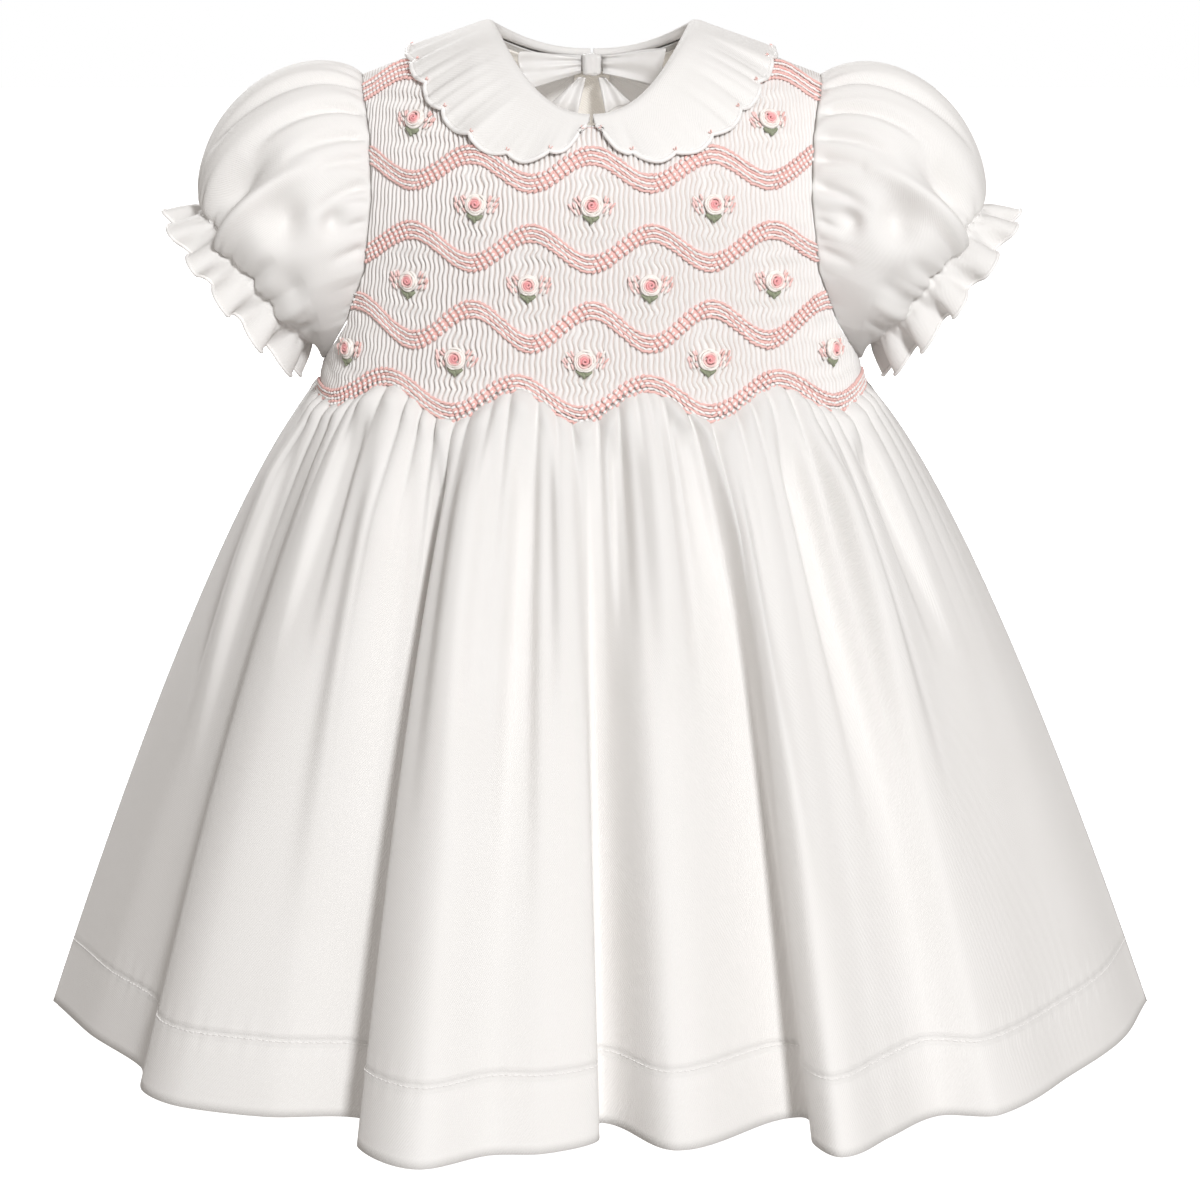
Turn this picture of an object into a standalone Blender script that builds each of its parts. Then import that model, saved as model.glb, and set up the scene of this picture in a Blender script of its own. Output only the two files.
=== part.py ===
"""Smocked christening dress: yoke, skirt, puff sleeves, scalloped collar and bow as cloth walls.

All sizes are in millimetres and are turned to metres where the meshes are made.
+X runs to the dress's left arm as seen from the front, the front faces -Y and +Z is up.
The origin lies midway between the shoulders, at the base of the neck.
"""

import math
from typing import NamedTuple

import bmesh
import bpy
import numpy as np

MM = 0.001

# Cloth and seams
WALL = 1.5
SKIRT_WALL = 1.3
SLEEVE_WALL = 1.2
COLLAR_WALL = 1.4
SEAM_GAP = 0.3
EDGE_GAP = 0.45

# Yoke
NECK_HALF = 43.0
SHOULDER_TIP = 88.0
NECK_SIDE_Z = 4.0
SHOULDER_TIP_Z = -13.0
ARMPIT_Z = -123.0
MIDDLE_TOP_Z = 8.0
FRONT_NECK_DROP = 33.0
BACK_NECK_DROP = 13.0
NECK_ROUNDNESS = 2.2
ROUND_FROM_Z = -75.0
PLAN_ROUNDNESS = 2.3
YOKE_BOTTOM_Z = -130.0
PLEATS = 72
PLEAT_HEIGHT = 1.0
INSIDE_STEP = 6
BACK_HALF_COLUMNS = 16

# Heights of the yoke's rows, as shares of a column: close together where the shoulder turns over
YOKE_ROWS = (0.0, 0.012, 0.05, 0.11, 0.20, 0.32, 0.46, 0.60, 0.74, 0.88, 1.0)

# Lower edge of the smocking: a wave whose crests are a fixed distance apart
WAVE_HEIGHT = 5.8
WAVE_LENGTH = 48.7
WAVE_CREST_X = 20.7
WAVE_ENDS_AT = 94.0
WAVE_FADE = 15.0

# Skirt
HEM_Z = -390.0
HEM_SHIFT = 3.2
SKIRT_FLARE = 0.76
FRONT_GATHERS = 30
BACK_GATHERS = 20
GATHER_HEIGHT = 2.4
GATHER_FADE = 0.11
FRONT_COLUMNS = 90
BACK_COLUMNS = 60
SEAM_CALM = 12.0

# Heights of the skirt's rows, as shares of its length: close together at the gathers
SKIRT_ROWS = (0.0, 0.045, 0.12, 0.24, 0.42, 0.64, 0.84, 1.0)

# Sleeve
CUFF_CENTRE = (130.5, 0.0, -90.0)
CUFF_RADIUS = 34.5
CUFF_AXIS = (0.78, 0.0, -0.62)
SLEEVE_FULLNESS = 0.4
HEAD_RISE = 0.15
HEAD_GATHER = 1.3
CUFF_GATHER = 1.2
SLEEVE_COLUMNS = 48
SLEEVE_ROWS = 6
HEAD_GATHERS = 12
CUFF_GATHERS = 24
RUFFLE_WAVES = 12
RUFFLE_LENGTH = 10.0
RUFFLE_FLARE = 3.2
RUFFLE_WAVE = 3.4
RUFFLE_ROWS = 2

# Collar
COLLAR_SCALLOPS = 12
SCALLOP_BULGE = 2.8
COLLAR_COLUMNS = 36
COLLAR_LIFT = 2.3
COLLAR_STAND_FRONT = 4.0
COLLAR_STAND_SIDE = 6.5
COLLAR_PARTING = 1.2
NECK_CENTRE = (0.0, -8.0, 20.0)


class CollarTurn(NamedTuple):
    """One line of the collar's stand: its share of the stand's height and how far out it lies."""
    up: float
    seam_gap: float
    out: float


COLLAR_TURNS = (
    CollarTurn(up=0.0, seam_gap=1.4, out=-0.7),
    CollarTurn(up=0.7, seam_gap=0.0, out=-0.6),
    CollarTurn(up=1.0, seam_gap=0.0, out=1.2),
    CollarTurn(up=0.55, seam_gap=0.0, out=3.0),
)
COLLAR_FALL = (0.3, 0.65, 1.0)

# Inside strips
BINDING_WIDTH = 7.0
BINDING_WALL = 1.0
BINDING_CLEARANCE = 1.5
BINDING_COLUMNS = 40
BINDING_TOP = 0.4
PLACKET_WIDTH = 14.0
PLACKET_TOP_Z = -14.0
PLACKET_BOTTOM_Z = -127.0

# Roses
ROSE_RADIUS = 4.5
ROSE_TOP_RADIUS = 2.6
ROSE_HEIGHT = 2.0
ROSE_SIDES = 8

# Bow
BOW_Y = 26.2
BOW_Z = -11.0
BOW_CURVE = 0.0138
KNOT_SIZE = (8.0, 5.0, 9.0)
LOOP_REACH = 24.0
LOOP_DEPTH = 3.0
LOOP_CROWN = 0.6                 # how far the ribbon bows out along its middle
RIBBON_WALL = 0.8


class Level(NamedTuple):
    """One height of the bodice: its half width, its depths and where its side edge lies."""
    z: float
    half_width: float
    front: float
    back: float
    edge: float


BODICE = (
    Level(z=20.0, half_width=93.0, front=60.0, back=52.0, edge=88.0),
    Level(z=-13.0, half_width=93.0, front=62.0, back=54.0, edge=88.0),
    Level(z=-35.0, half_width=94.5, front=63.5, back=55.5, edge=84.0),
    Level(z=-58.0, half_width=96.0, front=65.0, back=57.0, edge=83.0),
    Level(z=-85.0, half_width=98.5, front=66.0, back=59.0, edge=86.0),
    Level(z=-106.0, half_width=101.0, front=67.0, back=60.0, edge=94.0),
    Level(z=ARMPIT_Z, half_width=104.0, front=68.0, back=61.0, edge=104.0),
    Level(z=-137.0, half_width=108.0, front=70.0, back=62.0, edge=108.0),
)


class Fold(NamedTuple):
    """One turn of the hem, seen from above, before the hem's sideways shift."""
    name: str
    x: float
    y: float


FRONT_HEM = (
    Fold("right side seam", -225.0, 0.0),
    Fold("right side", -203.0, -40.0),
    Fold("right valley", -178.0, -76.0),
    Fold("first ridge edge", -174.0, -101.0),
    Fold("first ridge", -158.0, -118.0),
    Fold("first ridge face", -124.0, -129.0),
    Fold("first valley", -86.0, -131.0),
    Fold("middle ridge edge", -88.0, -158.0),
    Fold("middle ridge", -66.0, -179.0),
    Fold("middle crease", -40.0, -166.0),
    Fold("middle ridge face", -20.0, -165.0),
    Fold("middle ridge end", -1.0, -153.0),
    Fold("middle valley", 1.0, -134.0),
    Fold("soft ridge", 29.0, -161.0),
    Fold("second valley", 74.0, -129.0),
    Fold("second ridge edge", 78.0, -156.0),
    Fold("second ridge", 88.0, -168.0),
    Fold("second ridge face", 106.0, -148.0),
    Fold("third valley", 126.0, -127.0),
    Fold("third ridge", 149.0, -127.0),
    Fold("left side", 180.0, -88.0),
    Fold("left side turn", 206.0, -48.0),
    Fold("left side seam", 225.0, 0.0),
)

BACK_HEM = (
    Fold("right side seam", -225.0, 0.0),
    Fold("right side", -208.0, 42.0),
    Fold("first valley", -178.0, 70.0),
    Fold("first ridge", -164.0, 108.0),
    Fold("first ridge face", -132.0, 122.0),
    Fold("second valley", -104.0, 112.0),
    Fold("second ridge", -88.0, 150.0),
    Fold("second ridge face", -54.0, 156.0),
    Fold("third valley", -28.0, 124.0),
    Fold("middle ridge", -4.0, 158.0),
    Fold("middle ridge face", 26.0, 160.0),
    Fold("fourth valley", 50.0, 126.0),
    Fold("third ridge", 72.0, 152.0),
    Fold("third ridge face", 98.0, 142.0),
    Fold("fifth valley", 120.0, 110.0),
    Fold("fourth ridge", 148.0, 122.0),
    Fold("sixth valley", 172.0, 76.0),
    Fold("left side", 206.0, 46.0),
    Fold("left side seam", 225.0, 0.0),
)


class SoftFold(NamedTuple):
    """A fold that starts and dies out inside the skirt: a ridge, or a valley where its depth is negative."""
    top: float
    bottom: float
    starts: float
    ends: float
    depth: float
    width: float


FRONT_SOFT_FOLDS = (
    SoftFold(top=0.07, bottom=0.09, starts=0.02, ends=0.60, depth=4.0, width=0.016),
    SoftFold(top=0.19, bottom=0.21, starts=0.02, ends=0.42, depth=-4.0, width=0.014),
    SoftFold(top=0.25, bottom=0.25, starts=0.05, ends=0.80, depth=4.0, width=0.020),
    SoftFold(top=0.31, bottom=0.30, starts=0.02, ends=0.70, depth=-6.0, width=0.014),
    SoftFold(top=0.36, bottom=0.36, starts=0.02, ends=0.62, depth=5.0, width=0.015),
    SoftFold(top=0.415, bottom=0.42, starts=0.02, ends=0.80, depth=-4.5, width=0.012),
    SoftFold(top=0.46, bottom=0.455, starts=0.02, ends=0.50, depth=4.5, width=0.014),
    SoftFold(top=0.53, bottom=0.53, starts=0.02, ends=0.36, depth=-4.5, width=0.012),
    SoftFold(top=0.57, bottom=0.57, starts=0.02, ends=0.46, depth=4.5, width=0.014),
    SoftFold(top=0.61, bottom=0.62, starts=0.02, ends=0.30, depth=-3.5, width=0.012),
    SoftFold(top=0.66, bottom=0.69, starts=0.02, ends=0.74, depth=6.0, width=0.016),
    SoftFold(top=0.745, bottom=0.77, starts=0.02, ends=0.70, depth=-6.0, width=0.014),
    SoftFold(top=0.79, bottom=0.81, starts=0.03, ends=0.60, depth=5.0, width=0.015),
    SoftFold(top=0.86, bottom=0.87, starts=0.03, ends=0.40, depth=-4.0, width=0.014),
)

BACK_SOFT_FOLDS = (
    SoftFold(top=0.12, bottom=0.13, starts=0.02, ends=0.55, depth=4.5, width=0.018),
    SoftFold(top=0.24, bottom=0.23, starts=0.02, ends=0.70, depth=-4.5, width=0.016),
    SoftFold(top=0.36, bottom=0.35, starts=0.02, ends=0.50, depth=5.0, width=0.018),
    SoftFold(top=0.48, bottom=0.49, starts=0.02, ends=0.65, depth=-5.0, width=0.016),
    SoftFold(top=0.60, bottom=0.61, starts=0.02, ends=0.55, depth=5.0, width=0.018),
    SoftFold(top=0.72, bottom=0.72, starts=0.02, ends=0.72, depth=-4.5, width=0.016),
    SoftFold(top=0.86, bottom=0.87, starts=0.02, ends=0.48, depth=4.5, width=0.018),
)


class CollarWidth(NamedTuple):
    """How far the collar lies over the yoke, at a share of the way from its front to its back end."""
    along: float
    width: float


COLLAR_WIDTHS = (
    CollarWidth(along=0.0, width=3.0),
    CollarWidth(along=0.04, width=9.0),
    CollarWidth(along=0.10, width=18.5),
    CollarWidth(along=0.16, width=23.0),
    CollarWidth(along=0.23, width=25.5),
    CollarWidth(along=0.31, width=27.0),
    CollarWidth(along=0.88, width=27.0),
    CollarWidth(along=0.95, width=23.0),
    CollarWidth(along=1.0, width=12.0),
)


class RoseRow(NamedTuple):
    """One row of roses: its name, its height and the roses' places across."""
    name: str
    z: float
    xs: tuple


ROSE_ROWS = (
    RoseRow(name="a", z=-28.5, xs=(-65.5, 66.0)),
    RoseRow(name="b", z=-58.0, xs=(-42.5, 0.2, 45.2)),
    RoseRow(name="c", z=-87.0, xs=(-67.8, -23.2, 21.8, 68.0)),
    RoseRow(name="d", z=-115.0, xs=(-92.0, -50.4, -2.4, 43.6, 91.0)),
)

FRONT = -1
BACK = 1


class Finish(NamedTuple):
    """Colour and roughness of one material."""
    colour: tuple
    roughness: float


COTTON = Finish(colour=(0.90, 0.88, 0.84, 1.0), roughness=0.85)
ROSE_THREAD = Finish(colour=(0.84, 0.55, 0.52, 1.0), roughness=0.6)
SATIN = Finish(colour=(0.95, 0.94, 0.92, 1.0), roughness=0.3)


def clear_scene():
    """Removes what the scene starts with."""
    for item in list(bpy.data.objects):
        bpy.data.objects.remove(item, do_unlink=True)


def make_collection(name):
    """Makes the collection that holds the dress."""
    collection = bpy.data.collections.new(name)
    bpy.context.scene.collection.children.link(collection)
    return collection


def make_material(name, finish):
    """Makes one Principled material."""
    material = bpy.data.materials.new(name)
    material.use_nodes = True
    shader = material.node_tree.nodes["Principled BSDF"]
    shader.inputs["Base Color"].default_value = finish.colour
    shader.inputs["Roughness"].default_value = finish.roughness
    shader.inputs["Metallic"].default_value = 0.0
    return material


def unit(vector):
    """Scales a vector to length one."""
    return vector / max(float(np.linalg.norm(vector)), 1e-12)


def level(z):
    """Reads the bodice table at a height."""
    heights = [-row.z for row in BODICE]
    values = [float(np.interp(-z, heights, [row[field] for row in BODICE])) for field in range(1, 5)]
    return Level(z, *values)


def shoulder_z(x):
    """Height of the shoulder line at a place across the dress."""
    return float(np.interp(abs(x), (0.0, NECK_HALF, SHOULDER_TIP, 2 * SHOULDER_TIP),
                           (MIDDLE_TOP_Z, NECK_SIDE_Z, SHOULDER_TIP_Z, 2 * SHOULDER_TIP_Z)))


def neckline_z(x, facing):
    """Height of the neck edge on the front or the back."""
    drop = FRONT_NECK_DROP if facing == FRONT else BACK_NECK_DROP
    return NECK_SIDE_Z - drop * (1.0 - (abs(x) / NECK_HALF) ** NECK_ROUNDNESS)


def bodice_depth(x, z, facing):
    """How far the bodice stands out from the middle plane at a place on its front or back."""
    size = level(z)
    depth = size.front if facing == FRONT else size.back
    across = min(abs(x) / size.half_width, 1.0)
    side = (1.0 - across ** PLAN_ROUNDNESS) ** (1.0 / PLAN_ROUNDNESS)
    rise = max(0.0, (z - ROUND_FROM_Z) / (shoulder_z(x) - ROUND_FROM_Z))
    return depth * side * math.sqrt(max(0.0, 1.0 - rise * rise))


def bodice_field(point):
    """Is 0 on the bodice's surface, less inside it and more outside."""
    x, y, z = point
    size = level(z)
    depth = size.front if y < 0.0 else size.back
    across = min(abs(x) / size.half_width, 0.999)
    side = (1.0 - across ** PLAN_ROUNDNESS) ** (1.0 / PLAN_ROUNDNESS)
    rise = max(0.0, (z - ROUND_FROM_Z) / (shoulder_z(x) - ROUND_FROM_Z))
    return (y / (depth * side)) ** 2 + rise * rise - 1.0


def field_slope(point, step=0.05):
    """Slope of the bodice's field at a point."""
    slope = np.zeros(3)
    for axis in range(3):
        shift = np.zeros(3)
        shift[axis] = step
        slope[axis] = (bodice_field(point + shift) - bodice_field(point - shift)) / (2.0 * step)
    return slope


def settle(point):
    """Moves a point on to the bodice's surface, and returns it with the surface's outward direction."""
    for _ in range(4):
        slope = field_slope(point)
        point = point - slope * bodice_field(point) / float(slope @ slope)
    return point, unit(field_slope(point))


def walk(start, heading, distances):
    """Follows the bodice's surface from a start and returns the point and normal at each distance."""
    stride = 1.5
    point, normal = settle(start)
    heading = unit(heading - normal * float(heading @ normal))
    walked = 0.0
    found = []
    for distance in distances:
        while walked < distance - 1e-9:
            length = min(stride, distance - walked)
            point, normal = settle(point + heading * length)
            heading = unit(heading - normal * float(heading @ normal))
            walked += length
        found.append((point.copy(), normal.copy()))
    return found


def even_points(points, count):
    """Spreads points evenly along a line of points."""
    points = np.asarray(points, dtype=float)
    steps = np.linalg.norm(np.diff(points, axis=0), axis=1)
    along = np.concatenate(([0.0], np.cumsum(steps)))
    wanted = np.linspace(0.0, along[-1], count)
    return np.column_stack([np.interp(wanted, along, points[:, axis]) for axis in range(3)])


def smooth_line(points, parts=12):
    """Runs a rounded line through points, with no overshoot at its tight turns."""
    points = [np.asarray(point, dtype=float) for point in points]
    ends = [2 * points[0] - points[1]] + points + [2 * points[-1] - points[-2]]
    line = []
    for before, start, end, after in zip(ends, ends[1:], ends[2:], ends[3:]):
        chord = float(np.linalg.norm(end - start))
        leave = unit(end - before) * chord * 0.30
        arrive = unit(after - start) * chord * 0.30
        for part in range(parts):
            t = part / parts
            line.append((1 - t) ** 3 * start + 3 * (1 - t) ** 2 * t * (start + leave)
                        + 3 * (1 - t) * t * t * (end - arrive) + t ** 3 * end)
    line.append(points[-1])
    return line


def spread(u):
    """Sets the columns a little wider apart at the sides, where the bodice turns away."""
    return 0.85 * u + 0.15 * u ** 3


def top_z(u, facing):
    """Height of a column's top end, on the shoulder seam or the neck edge."""
    size = level(0.0)
    x = size.half_width * math.sin(math.asin(size.edge / size.half_width) * spread(u))
    if abs(x) < NECK_HALF:
        return neckline_z(x, facing)
    return shoulder_z(x)


def bottom_z(u, facing):
    """Height of a column's lower end: a wave on the front, level on the back."""
    if facing == BACK:
        return YOKE_BOTTOM_Z
    x = level(YOKE_BOTTOM_Z).half_width * math.sin(0.5 * math.pi * spread(u))
    calm = float(np.clip((WAVE_ENDS_AT + WAVE_FADE - abs(x)) / WAVE_FADE, 0.0, 1.0))
    return YOKE_BOTTOM_Z + WAVE_HEIGHT * calm * math.cos(2 * math.pi * (x - WAVE_CREST_X) / WAVE_LENGTH)


def yoke_point(u, v, facing):
    """Point of the yoke's outer face: u runs from -1 to 1 across, v from the top edge to the lower one."""
    top = top_z(u, facing)
    z = top + (bottom_z(u, facing) - top) * v
    size = level(z)
    reach = math.asin(min(1.0, size.edge / size.half_width))
    x = size.half_width * math.sin(reach * spread(u))
    y = max(bodice_depth(x, z, facing), SEAM_GAP / 2)
    return np.array((x, facing * y, z))


def yoke_normal(u, v, facing, step=0.002):
    """Outward direction of the yoke at a place on it."""
    u_low, u_high = max(-1.0, u - step), min(1.0, u + step)
    v_low, v_high = max(0.0, v - step), min(1.0, v + step)
    across = yoke_point(u_high, v, facing) - yoke_point(u_low, v, facing)
    down = yoke_point(u, v_high, facing) - yoke_point(u, v_low, facing)
    return unit(np.cross(down, across)) * (1.0 if facing == FRONT else -1.0)


def new_object(name, builder, collection, finish):
    """Makes an object from a bmesh in millimetres, with its own material."""
    bmesh.ops.scale(builder, vec=(MM, MM, MM), verts=builder.verts)
    mesh = bpy.data.meshes.new(name)
    builder.to_mesh(mesh)
    builder.free()
    mesh.shade_smooth()
    item = bpy.data.objects.new(name, mesh)
    item.data.materials.append(make_material(name + "_material", finish))
    collection.objects.link(item)
    return item


def grid_surface(place, columns, rows, inside, closed=False):
    """Shapes a grid with place(s, v), s across and v down, both 0 to 1, facing away from an inside point."""
    builder = bmesh.new()
    bmesh.ops.create_grid(builder, x_segments=columns, y_segments=rows, size=0.5)
    for vert in builder.verts:
        vert.co = place(vert.co.x + 0.5, 0.5 - vert.co.y)
    if closed:
        bmesh.ops.remove_doubles(builder, verts=builder.verts, dist=1e-4)
    builder.normal_update()
    facing_out = 0.0
    for face in builder.faces:
        away = np.array(face.calc_center_median()) - np.array(inside)
        facing_out += float(np.array(face.normal) @ away) * face.calc_area()
    if facing_out < 0.0:
        bmesh.ops.reverse_faces(builder, faces=builder.faces)
    return builder


def thicken(builder, wall):
    """Turns an open surface into a closed wall that grows inwards."""
    builder.normal_update()
    normals = [vert.normal.copy() for vert in builder.verts]
    outer = list(builder.verts)
    outer_faces = list(builder.faces)
    inner = [builder.verts.new(vert.co - normal * wall) for vert, normal in zip(outer, normals)]
    twins = dict(zip(outer, inner))
    rims = [loop for face in outer_faces for loop in face.loops if loop.edge.is_boundary]
    rim_corners = [(loop.vert, loop.link_loop_next.vert) for loop in rims]
    for face in outer_faces:
        builder.faces.new([twins[vert] for vert in reversed(face.verts)])
    for first, second in rim_corners:
        builder.faces.new((second, first, twins[first], twins[second]))


def trim(builder, facing):
    """Cuts a wall off level at the seam plane between front and back."""
    for vert in builder.verts:
        vert.co.y = facing * max(facing * vert.co.y, SEAM_GAP / 2)


def cloth(name, builder, wall, collection, finish, offset=-1.0):
    """Turns an open surface into a cloth wall, which grows inwards unless its offset says otherwise."""
    item = new_object(name, builder, collection, finish)
    solidify = item.modifiers.new("wall", "SOLIDIFY")
    solidify.thickness = wall * MM
    solidify.offset = offset
    return item


def pleated_wall(name, outer, inner, step, collection, finish):
    """Joins a finely pleated outer face to a plainer inner one that has every step-th column."""
    builder = bmesh.new()
    rows = len(outer)
    outside = [[builder.verts.new(point) for point in row] for row in outer]
    within = [[builder.verts.new(point) for point in row] for row in inner]
    last_out = len(outside[0]) - 1
    last_in = len(within[0]) - 1
    for row in range(rows - 1):
        for column in range(last_out):
            builder.faces.new((outside[row][column], outside[row + 1][column],
                               outside[row + 1][column + 1], outside[row][column + 1]))
        for column in range(last_in):
            builder.faces.new((within[row][column + 1], within[row + 1][column + 1],
                               within[row + 1][column], within[row][column]))
        builder.faces.new((within[row][0], within[row + 1][0], outside[row + 1][0], outside[row][0]))
        builder.faces.new((outside[row][last_out], outside[row + 1][last_out],
                           within[row + 1][last_in], within[row][last_in]))
    for row, turned in ((0, False), (rows - 1, True)):
        for column in range(last_in):
            rim = outside[row][column * step:column * step + step + 1]
            pair = [within[row][column], within[row][column + 1]]
            middle = step // 2
            fans = [(pair[0], rim[k], rim[k + 1]) for k in range(middle)]
            fans.append((pair[0], rim[middle], pair[1]))
            fans += [(pair[1], rim[k], rim[k + 1]) for k in range(middle, step)]
            for corners in fans:
                builder.faces.new(corners[::-1] if turned else corners)
    return new_object(name, builder, collection, finish)


def make_smocked_front(collection):
    """Makes the front yoke, with its pleats raised on a plain inside."""
    columns = 2 * PLEATS
    outer, inner = [], []
    for v in YOKE_ROWS:
        outer_row, inner_row = [], []
        for column in range(columns + 1):
            u = 2.0 * column / columns - 1.0
            point = yoke_point(u, v, FRONT)
            normal = yoke_normal(u, v, FRONT)
            raised = PLEAT_HEIGHT if column % 2 and v > 0.0 else 0.0
            outer_row.append(point + normal * raised)
            if column % INSIDE_STEP == 0:
                within = point - normal * WALL
                within[1] = min(within[1], -SEAM_GAP / 2)
                inner_row.append(within)
        outer.append(outer_row)
        inner.append(inner_row)
    return pleated_wall("smocked_front", outer, inner, INSIDE_STEP, collection, COTTON)


def make_back_half(name, side, collection):
    """Makes one half of the plain back yoke, parted at the centre back."""
    rows = len(YOKE_ROWS) - 1

    def place(s, v):
        return yoke_point(side * s, YOKE_ROWS[round(v * rows)], BACK)

    surface = grid_surface(place, BACK_HALF_COLUMNS, rows, inside=(side * 40.0, 0.0, -70.0))
    thicken(surface, WALL)
    trim(surface, BACK)
    for vert in surface.verts:
        vert.co.x = side * max(side * vert.co.x, SEAM_GAP / 2)
    return new_object(name, surface, collection, COTTON)


def make_placket(collection):
    """Makes the strip that lies inside the centre back opening."""
    clear = WALL + 2 * EDGE_GAP + BINDING_WALL / 2

    def place(s, v):
        x = (s - 0.5) * PLACKET_WIDTH
        z = PLACKET_TOP_Z + (PLACKET_BOTTOM_Z - PLACKET_TOP_Z) * v
        return np.array((x, bodice_depth(x, z, BACK) - clear, z))

    surface = grid_surface(place, 2, 9, inside=(0.0, 0.0, -70.0))
    return cloth("placket", surface, BINDING_WALL, collection, COTTON, offset=0.0)


def neck_line(side, start_gap):
    """Neck edge of one side, from the centre front over the shoulder to the centre back."""
    front = [(x, neckline_z(x, FRONT), FRONT) for x in np.linspace(start_gap, NECK_HALF, 60)]
    back = [(x, neckline_z(x, BACK), BACK) for x in np.linspace(NECK_HALF, start_gap, 60)]
    points = []
    for x, z, facing in front + back[1:]:
        points.append((side * x, facing * bodice_depth(x, z, facing), z))
    return points


def neck_frame(points, index, side):
    """Returns a neck edge point with the direction that leads down over the yoke from it."""
    before = points[max(index - 1, 0)]
    after = points[min(index + 1, len(points) - 1)]
    along = unit(after - before)
    point, normal = settle(points[index])
    down = unit(np.cross(along, normal)) * side
    away = point - np.array(NECK_CENTRE)
    if float(down @ away) < 0.0:
        down = -down
    return point, normal, down


def collar_grid(side):
    """Works out the collar's middle surface: up from the neck seam, over the roll and on to the yoke."""
    line = even_points(neck_line(side, COLLAR_PARTING), COLLAR_COLUMNS + 1)
    shares = [row.along for row in COLLAR_WIDTHS]
    widths = [row.width for row in COLLAR_WIDTHS]
    columns = []
    for index in range(COLLAR_COLUMNS + 1):
        along = index / COLLAR_COLUMNS
        point, normal, down = neck_frame(line, index, side)
        scallop = SCALLOP_BULGE * abs(math.sin(math.pi * COLLAR_SCALLOPS * along)) ** 0.8
        width = float(np.interp(along, shares, widths)) + scallop
        rise = math.sin(math.pi * min(1.0, along * 1.1)) ** 2
        stand = COLLAR_STAND_FRONT + (COLLAR_STAND_SIDE - COLLAR_STAND_FRONT) * rise
        column = [point - down * (stand * turn.up + turn.seam_gap) + normal * turn.out
                  for turn in COLLAR_TURNS]
        for found, outward in walk(point, down, [share * width for share in COLLAR_FALL]):
            column.append(found + outward * COLLAR_LIFT)
        columns.append(column)
    return columns


def make_collar(name, side, collection):
    """Makes one half of the scalloped collar."""
    columns = collar_grid(side)
    rows = len(columns[0]) - 1

    def place(s, v):
        return columns[round(s * COLLAR_COLUMNS)][round(v * rows)]

    surface = grid_surface(place, COLLAR_COLUMNS, rows, inside=(side * 30.0, 0.0, -60.0))
    return cloth(name, surface, COLLAR_WALL, collection, COTTON, offset=0.0)


def make_binding(collection):
    """Makes the narrow strip inside the neck edge, open at the centre back."""
    half = neck_line(1, PLACKET_WIDTH / 2 + 1.0)
    ring = [np.array((-x, y, z)) for x, y, z in reversed(half)]
    front = [np.array((x, y, z)) for x, y, z in half]
    bridge_from, bridge_to = ring[-1], front[0]
    for share in (0.33, 0.67):
        x = float(bridge_from[0] + (bridge_to[0] - bridge_from[0]) * share)
        z = neckline_z(x, FRONT)
        ring.append(np.array((x, -bodice_depth(x, z, FRONT), z)))
    line = even_points(ring + front, BINDING_COLUMNS + 1)
    depth = WALL + BINDING_CLEARANCE + BINDING_WALL / 2
    columns = []
    for index in range(BINDING_COLUMNS + 1):
        point, _, down = neck_frame(line, index, 1)
        columns.append([found - outward * depth
                        for found, outward in walk(point, down, (BINDING_TOP, BINDING_WIDTH))])

    def place(s, v):
        return columns[round(s * BINDING_COLUMNS)][round(v)]

    surface = grid_surface(place, BINDING_COLUMNS, 1, inside=(0.0, 0.0, -30.0))
    return cloth("neck_binding", surface, BINDING_WALL, collection, COTTON, offset=0.0)


def skirt_grid(facing, hem_rows, gathers, soft_folds, columns):
    """Works out one skirt panel between the yoke's lower edge and the folded hem."""
    top_line = []
    for u in np.linspace(-1.0, 1.0, 241):
        point = yoke_point(float(u), 1.0, facing)
        point[2] -= EDGE_GAP
        top_line.append(point)
    top = even_points(top_line, columns + 1)
    hem_line = smooth_line([(row.x + HEM_SHIFT, row.y, HEM_Z) for row in hem_rows])
    hem = even_points(hem_line, columns + 1)
    grid = []
    for column in range(columns + 1):
        s = column / columns
        calm = min(1.0, SEAM_CALM * s, SEAM_CALM * (1.0 - s))
        line = []
        for v in SKIRT_ROWS:
            out = v ** SKIRT_FLARE
            point = top[column] + (hem[column] - top[column]) * np.array((out, out, v))
            outward = unit(np.array((point[0], 2.2 * point[1], 0.0)))
            near_top = math.exp(-v / GATHER_FADE)
            lift = GATHER_HEIGHT * near_top * (0.5 + 0.5 * math.cos(2 * math.pi * gathers * s))
            for fold in soft_folds:
                middle = fold.top + (fold.bottom - fold.top) * v
                length = (v - fold.starts) / (fold.ends - fold.starts)
                if 0.0 < length < 1.0:
                    shape = math.exp(-((s - middle) / fold.width) ** 2)
                    lift += fold.depth * shape * math.sin(math.pi * length)
            line.append(point + outward * lift * calm)
        grid.append(line)
    return grid


def make_skirt(name, facing, hem_rows, gathers, soft_folds, columns, collection):
    """Makes one skirt panel."""
    grid = skirt_grid(facing, hem_rows, gathers, soft_folds, columns)
    rows = len(SKIRT_ROWS) - 1

    def place(s, v):
        return grid[round(s * columns)][round(v * rows)]

    surface = grid_surface(place, columns, rows, inside=(0.0, 0.0, -260.0))
    thicken(surface, SKIRT_WALL)
    trim(surface, facing)
    return new_object(name, surface, collection, COTTON)


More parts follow.
